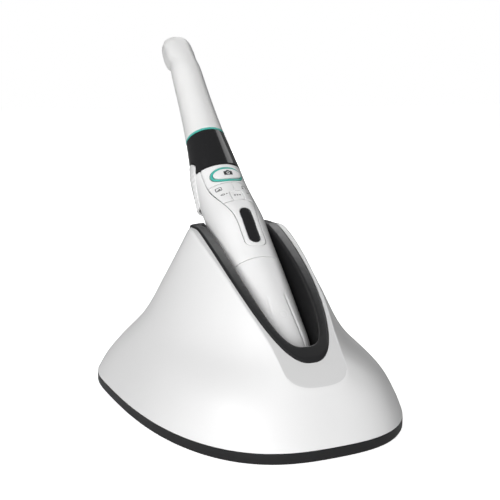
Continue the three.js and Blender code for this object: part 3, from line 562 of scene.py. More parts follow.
def slot_solid(size, layers, back=70):
    """A solid on the slot's plan. Each layer is (height as a function of y, how far the plan is grown)."""
    rings = []
    for height, grow in layers:
        plan = slot_plan(size, grow, back)
        rings.append(np.column_stack([plan, height(plan[:, 1]) + 0 * plan[:, 0]]))
    return loft(rings, flat_ends=False)


def above(lift):
    return lambda y: slot_face(y, lift)


def high_up(y):
    return 140 + 0 * y


def pocket_floor(grow):
    """Height of the slot's floor: the plane of the handpiece's axis, or the plane across its lower end. Near
    the crown, where the axis comes out, it stays just below the slot's face."""
    def height(y):
        ahead = y - HAND_END[1]
        on_axis_plane = HAND_END[2] + (ahead * cos(LEAN) - UNDER_AXIS) / sin(LEAN)
        on_end_plane = HAND_END[2] - (UNDER_END + grow + ahead * sin(LEAN)) / cos(LEAN)
        return np.minimum(np.maximum(on_axis_plane, on_end_plane), slot_face(y) - UNDER_FACE)
    return height


def trough(grow):
    """The round trough under the docked handpiece."""
    return placed(turned([(radius + grow, at - (grow if at < 5 else 0)) for radius, at in TROUGH]), HAND)


# ---- Handpiece forms

cap_section = smooth(CAP_SECTIONS)
body_section = smooth(BODY_SECTIONS)
neck_section = smooth(NECK_SECTIONS)


def hand_point(section, at, angle, inset):
    half_width, half_depth, behind, tilt = np.moveaxis(section(at), -1, 0)
    reach = (half_depth - inset) * np.sin(angle)
    x = (half_width - inset) * np.cos(angle)
    return np.stack([x, behind + reach * np.cos(tilt), at + reach * np.sin(tilt)], -1)


def hand_rings(section, profile, sides=120):
    """Rings of the handpiece for (at, inset) pairs."""
    angle = all_round(sides)
    return [hand_point(section, np.full(sides, at), angle, inset) for at, inset in profile]


def tube_profile(low, high, wall, rounding, count=60):
    """(at, inset) pairs round a tube's wall: down inside, round the foot, up outside, round the top."""
    inner = [(at, wall) for at in np.linspace(high, low, 12)]
    foot = [(low + below, inward) for inward, below in fillet(rounding)]
    outer = [(at, 0.0) for at in np.linspace(low + rounding, high - rounding, count)]
    top = [(high - below, inward) for inward, below in fillet(rounding)[::-1]]
    return inner + foot[:-1] + outer + top[1:]


def front_point(u, v, inset):
    """The body's front: u is x on the outer face, v is the height along the axis."""
    half_width = body_section(v)[..., 0]
    angle = FRONT + np.arcsin(np.clip(u / half_width, -1, 1))
    return hand_point(body_section, v, angle, inset)


def proud_front(proud):
    return lambda u, v, depth: front_point(u, v, depth - proud)


def on_body(loop):
    """Turns an outline drawn in front view, as (x, height), into the body's own (x, at)."""
    at = loop[:, 1].copy()
    for _ in range(4):
        half_width, half_depth, _behind, tilt = np.moveaxis(body_section(at), -1, 0)
        ahead = half_depth * np.sqrt(np.maximum(0, 1 - (loop[:, 0] / half_width) ** 2))
        at = loop[:, 1] + ahead * np.sin(tilt)
    return np.stack([loop[:, 0], at], -1)


def fascia_edge():
    """The right edge of the front panel in front view, from its foot to its widest place."""
    slim, wide, corner = FASCIA_NARROW, FASCIA_WIDE, FASCIA_CORNER
    foot = arc(slim - corner, FASCIA_BOTTOM + corner, corner, -90, 0, 24)
    t = np.linspace(0, 1, 60)[:, None]
    ends = [(slim, FLARE_FROM), (slim, FLARE_FROM + 12), (wide, FLARE_TO - 10), (wide, FLARE_TO)]
    p0, p1, p2, p3 = [np.array(p) for p in ends]
    flare = (1 - t) ** 3 * p0 + 3 * t * (1 - t) ** 2 * p1 + 3 * t**2 * (1 - t) * p2 + t**3 * p3
    return np.concatenate([foot, flare, [[wide, BODY_TOP + 6]]])


def fascia_width(height):
    edge = fascia_edge()
    return np.interp(height, edge[:, 1], edge[:, 0])


def fascia_part(bottom, top, gap=SEAM):
    """The stretch of the front panel between two heights, as an outline drawn in front view."""
    edge = fascia_edge()
    between = edge[(edge[:, 1] > bottom) & (edge[:, 1] < top)]
    right = np.concatenate([between, [[fascia_width(top), top]]])
    if bottom > FASCIA_BOTTOM:
        right = np.concatenate([[[fascia_width(bottom), bottom]], right])
    left = right[::-1] * np.array([-1, 1])
    return inset_loop(even(np.concatenate([right, left]), 0.45), gap)


def clip_above(loop, top):
    """Cuts an anticlockwise outline off straight at the height top."""
    below = loop[:, 1] < top - 0.05
    start = int(np.flatnonzero(below & ~np.roll(below, 1))[0])
    kept = np.roll(loop, -start, axis=0)[: below.sum()]
    return even(np.concatenate([kept, [[kept[-1][0], top], [kept[0][0], top]]]), 0.45)


def clockwise(loop):
    return loop[::-1]


# ---- Cradle pieces

def cradle_shell():
    shell = solid(cradle_solid(0, 0, RIM_TOP + 0.2, lip=LIP))
    carve(shell, "DIFFERENCE", cradle_solid(SHELL_WALL, -SHELL_WALL, 0, levels=16))
    mouth = slot_solid(SLOT_OUTER, [(above(-LINER_DEPTH - 1.5), FIT), (high_up, FIT)])
    room = LINER_WALL + FIT
    slot_room = slot_solid(SLOT_INNER, [(pocket_floor(room), room), (high_up, room)], back=SLOT_BACK)
    low, high = cad_box("power_socket")
    past_the_back = 95
    socket_hole = box(low[0] - FIT, high[0] + FIT, low[1], past_the_back, low[2] - FIT, high[2] + FIT)
    return carve(shell, "DIFFERENCE", mouth, slot_room, trough(room), socket_hole)


def liner_cup():
    proud = LINER_PROUD
    edge = [(-LINER_DEPTH, 0), (proud - 1, 0), (proud - 0.5, -0.13), (proud - 0.13, -0.5), (proud, -1)]
    liner = solid(slot_solid(SLOT_OUTER, [(above(lift), grow) for lift, grow in edge]))
    cup_layers = [(pocket_floor(LINER_WALL), LINER_WALL), (above(0), LINER_WALL)]
    cup = slot_solid(SLOT_INNER, cup_layers, back=SLOT_BACK)
    over = slot_solid((30, -85, 8), [(above(0.2), 0), (high_up, 0)], back=90)
    under_pen = carve(solid(trough(LINER_WALL)), "DIFFERENCE", over)
    carve(liner, "UNION", cup, under_pen)
    flare = [(proud - 1.6, 0), (proud - 0.8, 0.15), (proud - 0.3, 0.55), (proud, 1.2), (proud + 0.5, 3)]
    throat = [(pocket_floor(0), 0)] + [(above(lift), grow) for lift, grow in flare]
    opening = slot_solid(SLOT_INNER, throat, back=SLOT_BACK)
    carve(liner, "INTERSECT", cradle_solid(-proud, 3, 6, levels=24))
    carve(liner, "DIFFERENCE", opening, trough(0))
    return carve(liner, "DIFFERENCE", *bore_pair("charge_pin_right", 1.2, -6, 1))


def bore_pair(node, radius, low, high):
    """A bore for this node and one for its mirror image, along the handpiece."""
    x = sum(cad_box(node))[0] / 2
    return [placed(rod(radius, low, high, side * x), HAND) for side in (-1, 1)]


def base_plate():
    """The black rim: a low tray with a shallow recess underneath for the rubber pad."""
    profile = [(PAD_RECESS, PAD_INSET), (RIM_BOTTOM, PAD_INSET), (RIM_BOTTOM, 0.9), (RIM_BOTTOM + 0.25, 0.35)]
    profile += [(RIM_BOTTOM + 0.9, 0), (RIM_TOP - 0.5, 0), (RIM_TOP - 0.15, 0.12), (RIM_TOP, 0.5)]
    profile += [(RIM_TOP, BASE_WALL), (BASE_FLOOR, BASE_WALL)]
    angle = columns()
    rings = []
    for z, inset in profile:
        ring = cradle_point(np.full(len(angle), RIM_TOP), angle, inset)
        ring[:, 2] = z
        rings.append(ring)
    return loft(rings)


# ---- Handpiece pieces

def groove_depth(point):
    """Two soft grooves down the cap's front, and a small pressed ring between them."""
    x, y, at = point[..., 0], point[..., 1], point[..., 2]
    centre = 4.4 + 1.2 * (33 - at) / 25
    along = np.clip((GROOVE_TO - at) / 3, 0, 1) * np.clip((at - GROOVE_FROM) / 3, 0, 1)
    grooves = GROOVE_DEPTH * np.exp(-((np.abs(x) - centre) / GROOVE_HALF) ** 2) * along
    from_mark = np.hypot(x, at - MARK_AT)
    mark = MARK_DEPTH * np.exp(-((from_mark - MARK_RADIUS) / MARK_HALF) ** 2)
    return np.where(y < 0, grooves + mark, 0)


def lower_cap():
    top = CAP_TOP - SEAM
    rounds = [(0, 0.4), (0.12, 0.12)] + [(at, 0) for at in (0.35, 0.7, 1.2, 1.8, 2.5, 3.5, 4.5)]
    shaft = [(at, 0) for at in np.linspace(5.5, top - 0.25, 140)]
    edge = [(top - below, inward) for inward, below in fillet(0.25)[::-1]]
    bore = [(at, BODY_WALL) for at in (top, 40, 26, 8, 2.6)]
    rings = hand_rings(cap_section, rounds + shaft + edge[1:] + bore, sides=240)
    outside = len(rounds) + len(shaft)
    for ring in rings[:outside]:
        depth = groove_depth(ring)
        ring[:, :2] *= (1 - depth / np.linalg.norm(ring[:, :2], axis=1))[:, None]
    cap = solid(placed(loft(rings), HAND))
    return carve(cap, "DIFFERENCE", *bore_pair("contact_pad_right", 2.1, -1, 1.1))


def lever_front(at):
    """The y of the lever's front edge at a height."""
    share = np.clip((at - LEVER_FROM) / (LEVER_TO - LEVER_CORNER - LEVER_FROM), 0, 1)
    return LEVER_FRONT_LOW + (LEVER_FRONT_HIGH - LEVER_FRONT_LOW) * share


def lever_proud(at, angle):
    """How far the lever stands out: most at the back of its lower end, and little along its front edge."""
    rise = np.clip((LEVER_TO - at) / (LEVER_TO - LEVER_FROM), 0, None) ** 1.6
    section = body_section(at)
    from_edge = section[..., 2] + section[..., 1] * np.sin(angle) - lever_front(at)
    share = np.clip(from_edge / LEVER_FADE, 0, 1)
    return LEVER_HIGH + (LEVER_LOW - LEVER_HIGH) * rise * share**2 * (3 - 2 * share)


def lever_side(grow):
    """The lever seen from the side, as (y, height): its front edge slopes back towards its lower end."""
    top, back = LEVER_TO + grow, 25
    high = LEVER_FRONT_HIGH - grow
    t = np.linspace(0, 1, LEVER_TURN)[:, None]
    start, end = np.array([high, top - LEVER_CORNER]), np.array([high + LEVER_CORNER, top])
    turn = bend(start, np.array([high, top]), end, t)
    foot = [[back, LEVER_FROM - grow], [LEVER_FRONT_LOW - grow, LEVER_FROM - grow]]
    return np.concatenate([turn, [[back, top]], foot])


def lever_room():
    """The room in the body and the band under the lever."""
    side = lever_side(FIT)
    walls = [np.column_stack([np.full(len(side), x), side]) for x in (20, -20)]
    room = solid(loft(walls))
    depth = LEVER_WALL + LEVER_PLAY
    angle = all_round(180)
    core = []
    for at in np.linspace(LEVER_FROM - 3, LEVER_TO + 1, 30):
        level = np.full(len(angle), at)
        core.append(hand_point(body_section, level, angle, depth - lever_proud(level, angle)))
    return carve(room, "DIFFERENCE", loft(core))


def moved(obj, matrix):
    """Places an object made in millimetres of one frame in another frame."""
    shift = matrix.copy()
    shift.translation = shift.translation * MM
    obj.data.transform(shift)
    return obj


def body_shell():
    top = BODY_TOP - 2 * SEAM
    rings = hand_rings(body_section, tube_profile(CAP_TOP + SEAM, top, BODY_WALL, 0.25))
    shell = solid(loft(rings, wrap=True))
    opening = standing(fascia_part(FASCIA_BOTTOM, BODY_TOP + 5, gap=-SEAM), -22, -3.5)
    backwards = Matrix.Translation((0, 0, SPRING_AT)) @ Matrix.Rotation(-pi / 2, 4, "X")
    spring_bore = placed(rod(SPRING_BORE, 8, 20), backwards)
    slot_width = LUG_WIDTH + 0.4
    lug_slot = box(-slot_width, slot_width, 7, 18, LEVER_PIN_AT - LUG_HEIGHT - 0.6, BODY_TOP + 4)
    carve(shell, "DIFFERENCE", opening, lever_room(), lug_slot, spring_bore)
    carve(shell, "UNION", turned(SPIGOT, closed=True))
    return moved(shell, HAND)


def fascia_panel():
    top = BODY_TOP - 2 * SEAM
    upper = clip_above(on_body(fascia_part(KEYPAD_TOP + SEAM, BODY_TOP + 3)), top)
    lower = on_body(fascia_part(FASCIA_BOTTOM, KEYPAD_BOTTOM - SEAM))
    under = on_body(fascia_part(KEYPAD_BOTTOM - 1, KEYPAD_TOP + 1))
    ring_hole = on_body(clockwise(oval(RING_WIDTH + SEAM, RING_HEIGHT + SEAM, OVAL_POWER, 0, BUTTON_AT)))
    window_hole = on_body(clockwise(window_outline(SEAM)))
    return placed(joined(
        panel(front_point, [upper, ring_hole], FASCIA_DEPTH, 0.22, 0.6),
        panel(front_point, [lower, window_hole], FASCIA_DEPTH, 0.22, 0.6),
        panel(proud_front(-KEYPAD_DEPTH), [under], FASCIA_DEPTH - KEYPAD_DEPTH, 0.1, 1.2),
    ), HAND)


def window_outline(grow):
    half = WINDOW_WIDTH + grow
    return even(round_box(-half, half, WINDOW_BOTTOM - grow, WINDOW_TOP + grow, half - 0.01), 0.3)


def display_window():
    outline = on_body(window_outline(-SEAM))
    return placed(panel(proud_front(WINDOW_PROUD), [outline], 1.6, 0.25, 0.5), HAND)


def button_ring():
    outer = on_body(oval(RING_WIDTH - SEAM, RING_HEIGHT - SEAM, OVAL_POWER, 0, BUTTON_AT, 140))
    inner = on_body(clockwise(oval(BUTTON_WIDTH + SEAM, BUTTON_HEIGHT + SEAM, OVAL_POWER, 0, BUTTON_AT, 120)))
    return placed(panel(proud_front(RING_PROUD), [outer, inner], 1.7, 0.25, 0.4), HAND)


def capture_button():
    outline = on_body(oval(BUTTON_WIDTH - SEAM, BUTTON_HEIGHT - SEAM, OVAL_POWER, 0, BUTTON_AT, 120))
    cap = panel(proud_front(BUTTON_PROUD), [outline], 1.5, 0.45, 0.4)
    return placed(joined(cap, key_stem("capture_button", 1.4)), HAND)


def key_stem(node, half):
    """The post behind a key, from inside its plate down to where the CAD key ends."""
    x, z = STEMS[node]
    furthest_out = max(abs(x - half), abs(x + half))
    start = front_point(np.array(furthest_out), np.array(float(z)), KEY_THICKNESS / 2)[1]
    return box(x - half, x + half, start, STEM_END, z - half, z + half)


def side_key(name, side):
    """A side key, cut away round the mode key and as wide as the front panel. The left mirrors the right."""
    gap, low, high = SEAM, KEYPAD_BOTTOM + SEAM, KEYPAD_TOP - SEAM
    clear = MODE_WIDTH + 2 * SEAM
    heights = np.linspace(low, high, 30)
    outer = np.stack([fascia_width(heights) - SEAM, heights], -1)
    corner = arc(clear - 1, MODE_TOP + 2 * SEAM - 1, 1, 90, 0, 10)
    outline = np.concatenate([[[gap, high], [gap, MODE_TOP + 2 * SEAM]], corner, [[clear, low]], outer])
    outline = even(outline, 0.3)
    if side < 0:
        outline = clockwise(outline * np.array([-1, 1]))
    plate = panel(proud_front(KEY_PROUD), [on_body(outline)], KEY_THICKNESS, 0.22, 0.5)
    return placed(joined(plate, key_stem(name, 1.0)), HAND)


def mode_key():
    outline = round_box(-MODE_WIDTH, MODE_WIDTH, KEYPAD_BOTTOM + SEAM, MODE_TOP, MODE_CORNER)
    plate = panel(proud_front(KEY_PROUD), [on_body(even(outline, 0.25))], KEY_THICKNESS, 0.22, 0.4)
    return placed(joined(plate, key_stem("mode_key", 1.0)), HAND)


def rear_lever():
    """A thin hood round the back of the body's top, with finger ridges along its edges."""
    scale = body_section(np.array(LEVER_PIN_AT))[0]

    def hood(u, v, depth):
        angle = BACK + u / scale
        side = np.abs(np.cos(angle))
        wave = np.cos((v - LEVER_FROM) * 2 * pi / RIDGE_PITCH)
        ridge = RIDGE_HEIGHT * wave * np.clip((side - 0.55) / 0.2, 0, 1)
        ridge = ridge * np.clip((LEVER_TO - 2.5 - v) / 2, 0, 1) * (depth < LEVER_WALL / 2)
        return hand_point(body_section, v, angle, depth - lever_proud(v, angle) - ridge)

    heights = np.linspace(LEVER_FROM, LEVER_TO - LEVER_CORNER, 40)[:-1]
    edge = np.concatenate([np.stack([lever_front(heights), heights], -1), lever_side(0)[:LEVER_TURN]])
    section = body_section(edge[:, 1])
    reach = section[:, 1] + LEVER_HIGH
    sine = np.clip((edge[:, 0] - section[:, 2]) / reach, -1, 1)
    left = np.stack([(np.arcsin(sine) - BACK) * scale, edge[:, 1]], -1)
    right = left * np.array([-1, 1])
    outline = even(np.concatenate([right, left[::-1]]), 0.35)
    plate = panel(hood, [outline], LEVER_WALL, 0.3, 0.5)
    return placed(joined(plate, lever_lug()), HAND)


def lever_lug():
    """The block behind the lever that its pin runs through, from side to side."""
    low, high = LEVER_PIN_AT - LUG_HEIGHT, LEVER_PIN_AT + LUG_HEIGHT
    lug = solid(box(-LUG_WIDTH, LUG_WIDTH, LEVER_PIN_BEHIND - LUG_HEIGHT, LUG_BACK, low, high))
    along_pin = Matrix.Translation((0, LEVER_PIN_BEHIND, LEVER_PIN_AT)) @ Matrix.Rotation(pi / 2, 4, "Y")
    carve(lug, "DIFFERENCE", placed(rod(PIN_BORE, -9, 9), along_pin))
    shape = (np.array([v.co for v in lug.data.vertices]) / MM, [tuple(p.vertices) for p in lug.data.polygons])
    bpy.data.objects.remove(lug)
    return shape


# ---- Neck pieces

def neck_ring(at, inset, sides):
    """A ring of the neck, with the round neck and the head's pad melted into each other."""
    angle = all_round(sides)
    along = np.clip((at - FALL_FROM) / (TIP - FALL_FROM), 0, 1)
    shrink = (1 - along**FALL_POWER) ** (1 / FALL_POWER)
    behind = TIP_LEAN * (1 - shrink)
    past = np.clip((at - TIP + TIP_ROUND) / TIP_ROUND, 0, 1)
    close = (1 - past**2.2) ** (1 / 2.2)
    round_reach = neck_section(np.array(float(at)))[0] * shrink
    reach = (round_reach**10 + pad_reach(at, angle, behind) ** 10) ** 0.1
    radius = np.maximum(reach * close - inset, 0.05)
    return np.stack([radius * np.cos(angle), behind + radius * np.sin(angle), np.full(sides, float(at))], -1)


def pad_reach(at, angle, behind):
    off_centre = abs(at - PAD_AT) / PAD_HEIGHT
    if off_centre >= 1:
        return 0 * angle
    swell = (1 - off_centre**3) ** (1 / 3)
    half_width = PAD_WIDTH * swell
    front = reach_at(angle, half_width, 0.75 * half_width, 2)
    back = reach_at(angle, half_width, (PAD_BACK - behind) * swell, 5)
    return np.where(np.sin(angle) < 0, front, back)


def neck_cover():
    inner = np.linspace(88.5, NECK_FOOT, 14)
    foot = [(NECK_FOOT, 0.3), (NECK_FOOT + 0.1, 0.1), (NECK_FOOT + 0.3, 0)]
    shaft = [(at, 0) for at in np.linspace(NECK_FOOT + 1, PAD_AT - PAD_HEIGHT - 0.6, 50)]
    pad_foot = PAD_AT - PAD_HEIGHT
    head = [(at, 0) for at in np.linspace(pad_foot - 0.3, pad_foot + 3, 24)]
    head += [(at, 0) for at in np.linspace(pad_foot + 3.6, TIP - TIP_ROUND, 24)]
    closing = [(TIP - TIP_ROUND * (1 - sin(t)), 0) for t in np.linspace(0.15, pi / 2 - 0.02, 18)]
    profile = [(at, NECK_WALL) for at in inner] + foot + shaft + head + closing
    cover = solid(loft([neck_ring(at, inset, 144) for at, inset in profile]))
    room = oval(PANE_WIDTH + SEAM, PANE_HEIGHT + SEAM, PANE_POWER, 0, PAD_AT)
    light_way = oval(PANE_WIDTH - 0.8, PANE_HEIGHT - 0.8, PANE_POWER, 0, PAD_AT)
    carve(cover, "DIFFERENCE", standing(room, PAD_BACK - 1.4, PAD_BACK + 2))
    carve(cover, "DIFFERENCE", standing(light_way, PAD_BACK - 5, PAD_BACK + 2))
    return moved(cover, NECK)


def head_window():
    """The pane in the pad's back, slightly crowned."""
    def face(u, v, depth):
        crown = 0.12 * (1 - (u / PANE_WIDTH) ** 2) * (1 - ((v - PAD_AT) / PANE_HEIGHT) ** 2)
        return np.stack([-u, PAD_BACK - 0.15 + crown - depth, v], -1)
    outline = oval(PANE_WIDTH - SEAM, PANE_HEIGHT - SEAM, PANE_POWER, 0, PAD_AT)
    return placed(panel(face, [outline], 0.95, 0.2, 0.5), NECK)


def black_band():
    foot, head = 0.3, BAND_LENGTH
    outer = [(BAND_FOOT - 0.35, foot), (BAND_FOOT - 0.1, foot + 0.1), (BAND_FOOT, foot + 0.35)]
    steps = np.linspace(0, 1, 30)[1:-1]
    outer += [(BAND_FOOT + (BAND_HEAD - BAND_FOOT) * t, foot + (head - foot) * t) for t in steps]
    outer += [(BAND_HEAD, head - 0.2), (BAND_HEAD - 0.2, head)]
    band = solid(placed(turned([(8.4, head), (10.7, foot)] + outer, 144, closed=True), NECK_IN_HAND))
    carve(band, "DIFFERENCE", lever_room())
    return moved(band, HAND)


def teal_ring():
    low = BAND_LENGTH + 0.15
    high = low + RING_LENGTH
    outer = [(9.9, low), (10.1, low + 0.2), (10.08, high - 0.25), (9.85, high)]
    return placed(turned([(8.2, high), (8.2, low)] + outer, 144, closed=True), NECK)


# ---- Printed marks

def printed(node_body, name, surface, loops, material, slot):
    """Thin raised print on a key, which moves with it."""
    shapes = [panel(surface, [on_body(loop) for loop in group], PRINT, 0.02, 0.5) for group in loops]
    return piece(name, placed(joined(*shapes), HAND), node_body, material, slot)


def stroke(points, width):
    """An outline round an open line, as wide as the print's lines."""
    line = np.array(points, float)
    ahead = np.gradient(line, axis=0)
    ahead = ahead / np.linalg.norm(ahead, axis=1)[:, None]
    side = np.stack([-ahead[:, 1], ahead[:, 0]], -1) * width / 2
    return np.concatenate([line - side, (line + side)[::-1]])


def camera_mark():
    """A small generic camera: a solid rounded body with a raised finder, and a ring round its lens."""
    at, shoulder = BUTTON_AT + 0.3, 1.05
    finder = [(0.8, shoulder), (0.5, 1.55), (-0.5, 1.55), (-0.8, shoulder)]
    body = round_box(-2.1, 2.1, -1.35, shoulder, 0.45)
    body = np.concatenate([body[:16], finder, body[16:]]) + [0, at]
    lens_edge = clockwise(oval(0.78, 0.78, 2, 0, at - 0.1, 36))
    lens = oval(0.42, 0.42, 2, 0, at - 0.1, 24)
    return [[even(body, 0.14), lens_edge], [lens]]


def picture_mark():
    """A small framed picture with a hill in it, over a dot and a pill."""
    left, right, low, high, line = -8.4, -5.6, 95.5, 97.7, 0.3
    border = even(round_box(left, right, low, high, 0.35), 0.12)
    hole = clockwise(even(round_box(left + line, right - line, low + line, high - line, 0.1), 0.12))
    foot = low + 0.45
    hill = [(left + 0.5, foot), (right - 0.5, foot), (right - 1, low + 1.4), (left + 1.2, low + 0.9)]
    pill = oval(0.95, 0.5, 2.4, -6.3, 92.6, 40)
    pill_hole = clockwise(oval(0.68, 0.24, 2.4, -6.3, 92.6, 36))
    dot = oval(0.32, 0.32, 2, -4.5, 92.6, 24)
    return [[border, hole], [even(np.array(hill), 0.12)], [pill, pill_hole], [dot]]


def arrow_mark():
    """A turned-back arc over a small tick."""
    curve = arc(5.9, 96.5, 1.15, -30, 205, 26)
    head = np.array([(4.3, 95.2), (5.5, 95.4), (4.6, 96.4)])
    tick = stroke([(6, 93), (6.6, 92.5), (7.3, 93.2)], 0.3)
    return [[even(stroke(curve, 0.3), 0.12)], [even(head, 0.12)], [even(tick, 0.12)]]


def dots_mark():
    """Three plain dots on the mode key."""
    return [[oval(0.42, 0.42, 2, x, 90.6, 28)] for x in (-1.3, 0, 1.3)]


# ---- Materials

def set_inputs(node, settings):
    for name, value in settings.items():
        node.inputs[name].default_value = value
    return node


class Shader:
    """A principled material whose colour, roughness and relief vary with place."""

    def __init__(self, name, colour, roughness, metallic=0.0):
        self.material = bpy.data.materials.new(name)
        self.material.use_nodes = True
        self.nodes = self.material.node_tree.nodes
        self.links = self.material.node_tree.links
        self.colour, self.roughness = colour, roughness
        looks = {"Base Color": (*colour, 1), "Roughness": roughness, "Metallic": metallic}
        self.surface = set_inputs(self.nodes["Principled BSDF"], looks)
        self.place = self.nodes.new("ShaderNodeTexCoord").outputs["Object"]

    def add(self, kind, settings, link, value):
        """A new node with these settings, and value linked to one of its inputs."""
        node = set_inputs(self.nodes.new(kind), settings)
        self.links.new(value, node.inputs[link])
        return node

    def scaled_place(self, scale):
        return self.add("ShaderNodeMapping", {"Scale": scale}, "Vector", self.place).outputs["Vector"]

    def noise(self, size_mm, detail=3.0, stretch=(1, 1, 1)):
        place = self.scaled_place([s / (size_mm * MM) for s in stretch])
        return self.add("ShaderNodeTexNoise", {"Scale": 1, "Detail": detail}, "Vector", place).outputs["Fac"]

    def spread(self, value, low, high, first=0.3, last=0.7):
        """Stretches a value that runs from first to last, as a noise does, to run from low to high."""
        settings = {"From Min": first, "From Max": last, "To Min": low, "To Max": high}
        return self.add("ShaderNodeMapRange", settings, "Value", value).outputs["Result"]

    def tint(self, value, other):
        """Mixes the base colour with another by value."""
        mix = self.nodes.new("ShaderNodeMix")
        mix.data_type = "RGBA"
        set_inputs(mix, {"A": (*self.colour, 1), "B": (*other, 1)})
        self.links.new(value, mix.inputs["Factor"])
        self.links.new(mix.outputs["Result"], self.surface.inputs["Base Color"])
        return self

    def wear(self, size_mm, change):
        value = self.spread(self.noise(size_mm), self.roughness - change, self.roughness + change)
        self.links.new(value, self.surface.inputs["Roughness"])
        return self

    def relief(self, value, height_mm):
        bump = self.add("ShaderNodeBump", {"Distance": height_mm * MM, "Strength": 1}, "Height", value)
        self.links.new(bump.outputs["Normal"], self.surface.inputs["Normal"])
        return self

    def coat(self, weight):
        set_inputs(self.surface, {"Coat Weight": weight, "Coat Roughness": 0.12})
        return self


def darker(colour, share):
    return tuple(channel * share for channel in colour)


def moulded(name, colour, roughness, coat=0.0):
    """Moulded plastic: faint cloudiness, uneven gloss and the slight waviness of a moulded skin."""
    shader = Shader(name, colour, roughness)
    shader.tint(shader.noise(25, 1), darker(colour, 0.97))
    shader.wear(12, 0.02)
    shader.relief(shader.noise(9, 1), 0.006)
    return shader.coat(coat).material


def textured(name, colour, roughness, grain_mm, height_mm):
    """Matt plastic or rubber with a fine stipple."""
    shader = Shader(name, colour, roughness)
    shader.tint(shader.noise(grain_mm * 8, 1), darker(colour, 0.85))
    shader.wear(6, 0.03)
    return shader.relief(shader.noise(grain_mm, 2), height_mm).material


def brushed(name, colour, roughness):
    """Metal with fine lines drawn along it and small stains."""
    shader = Shader(name, colour, roughness, metallic=1.0)
    shader.tint(shader.spread(shader.noise(3), 0, 1), darker(colour, 0.8))
    shader.wear(1.5, 0.08)
    return shader.relief(shader.noise(0.25, 2, stretch=(1, 0.1, 0.1)), 0.004).material


def circuit(name):
    """Solder mask with copper tracks showing through it."""
    green = (0.012, 0.09, 0.04)
    shader = Shader(name, green, 0.4)
    bricks = {"Scale": 1, "Brick Width": 3.2, "Row Height": 1.1, "Mortar Size": 0.16}
    tracks = shader.add("ShaderNodeTexBrick", bricks, "Vector", shader.scaled_place([1 / MM] * 3))
    shader.tint(tracks.outputs["Fac"], (0.05, 0.25, 0.1))
    return shader.relief(tracks.outputs["Fac"], 0.03).material


def sleeve(name):
    """A battery's shrink sleeve: a coloured film with a paler band and fine wrinkles."""
    shader = Shader(name, (0.05, 0.16, 0.38), 0.35)
    shader.tint(shader.spread(shader.noise(9, 1), 0, 1), (0.06, 0.2, 0.46))
    return shader.relief(shader.noise(1.2), 0.02).material


def clear_pane(name):
    shader = Shader(name, (0.9, 0.94, 0.95), 0.04)
    shader.wear(5, 0.02)
    set_inputs(shader.surface, {"Transmission Weight": 0.9})
    return shader.relief(shader.noise(4), 0.003).material


def make_materials():
    recipes = {
        "white_gloss": (moulded, (0.82, 0.82, 0.82), 0.31, 0.25),
        # the flat strip round the slot: a rougher finish (real) and a base colour darker than white_gloss (painted
        # shade)
        "bezel_satin": (moulded, (0.68, 0.68, 0.68), 0.45),
        "white_satin": (moulded, (0.78, 0.78, 0.775), 0.4),
        "teal_trim": (moulded, (0.07, 0.46, 0.39), 0.3, 0.3),
        "black_gloss": (moulded, (0.012, 0.012, 0.013), 0.14, 0.5),
        "dark_grey": (textured, (0.017, 0.017, 0.018), 0.36, 0.5, 0.0015),
        "rim_black": (textured, (0.018, 0.018, 0.019), 0.45, 0.4, 0.012),
        "black_rubber": (textured, (0.015, 0.015, 0.015), 0.85, 0.5, 0.03),
        "circuit_board": (circuit,),
        "moulded_insulator": (textured, (0.03, 0.03, 0.032), 0.5, 0.4, 0.01),
        "structural_tube": (textured, (0.05, 0.05, 0.055), 0.45, 0.6, 0.01),
        "clear_pane": (clear_pane,),
        "steel": (brushed, (0.5, 0.5, 0.51), 0.32),
        "gold_contact": (brushed, (0.75, 0.5, 0.17), 0.26),
        "cell_sleeve": (sleeve,),
        "print_grey": (textured, (0.035, 0.035, 0.037), 0.5, 0.3, 0.004),
    }
    return {name: make(name, *values) for name, (make, *values) in recipes.items()}


# ---- Assembly

RECORD = frame["record"]
BODY_OF = {node: body for body, members in RECORD["behaviour"]["bodies"].items() for node in members}
SLOT_OF = {part["node"]: part["material_slot"] for part in RECORD["subparts"]}
MATERIALS = make_materials()
SOFT_EDGED = ("base_plate", "body_shell", "black_band", "teal_ring")


def stand_in(node, made):
    """A fine piece that stands for one CAD node, on its body and in its slot's material."""
    slot = SLOT_OF[node]
    crease = 32 if node in SOFT_EDGED else 40
    return piece(node + "_form", made, BODY_OF[node], MATERIALS[slot], slot, node, crease=crease)


def satin_face(shell):
    """Gives the flat strip round the slot a rougher finish and a darker base colour, which is painted shade."""
    shell.data.materials.append(MATERIALS["bezel_satin"])
    for face in shell.data.polygons:
        middle = np.array(face.center) / MM
        on_face = abs(middle[2] - slot_face(middle[1])) < 0.05
        # faces lying on the slot's face take the darker material: painted shade on the flat strip
        face.material_index = int(on_face and face.normal.z > 0.3)


def build_pieces():
    satin_face(stand_in("cradle_shell", cradle_shell()))
    stand_in("left_key", side_key("left_key", -1))
    stand_in("right_key", side_key("right_key", 1))
    makers = [liner_cup, base_plate, lower_cap, body_shell, fascia_panel, display_window, button_ring]
    makers += [capture_button, mode_key, rear_lever, black_band, teal_ring, neck_cover, head_window]
    for make in makers:
        stand_in(make.__name__, make())


def build_prints():
    marks = [
        ("capture_button", "camera_print", BUTTON_PROUD, camera_mark()),
        ("left_key", "picture_print", KEY_PROUD, picture_mark()),
        ("right_key", "arrow_print", KEY_PROUD, arrow_mark()),
        ("mode_key", "dots_print", KEY_PROUD, dots_mark()),
    ]
    for key, name, proud, mark in marks:
        printed(key, name, proud_front(proud + PRINT), mark, MATERIALS["print_grey"], "dark_grey")


def paint_cad_nodes():
    """Every CAD node that is still shown takes its slot's material."""
    for name, node in frame["nodes"].items():
        if node.hide_render:
            continue
        slot = SLOT_OF[name]
        node.data.materials.clear()
        node.data.materials.append(MATERIALS[slot])


# ---- Stage

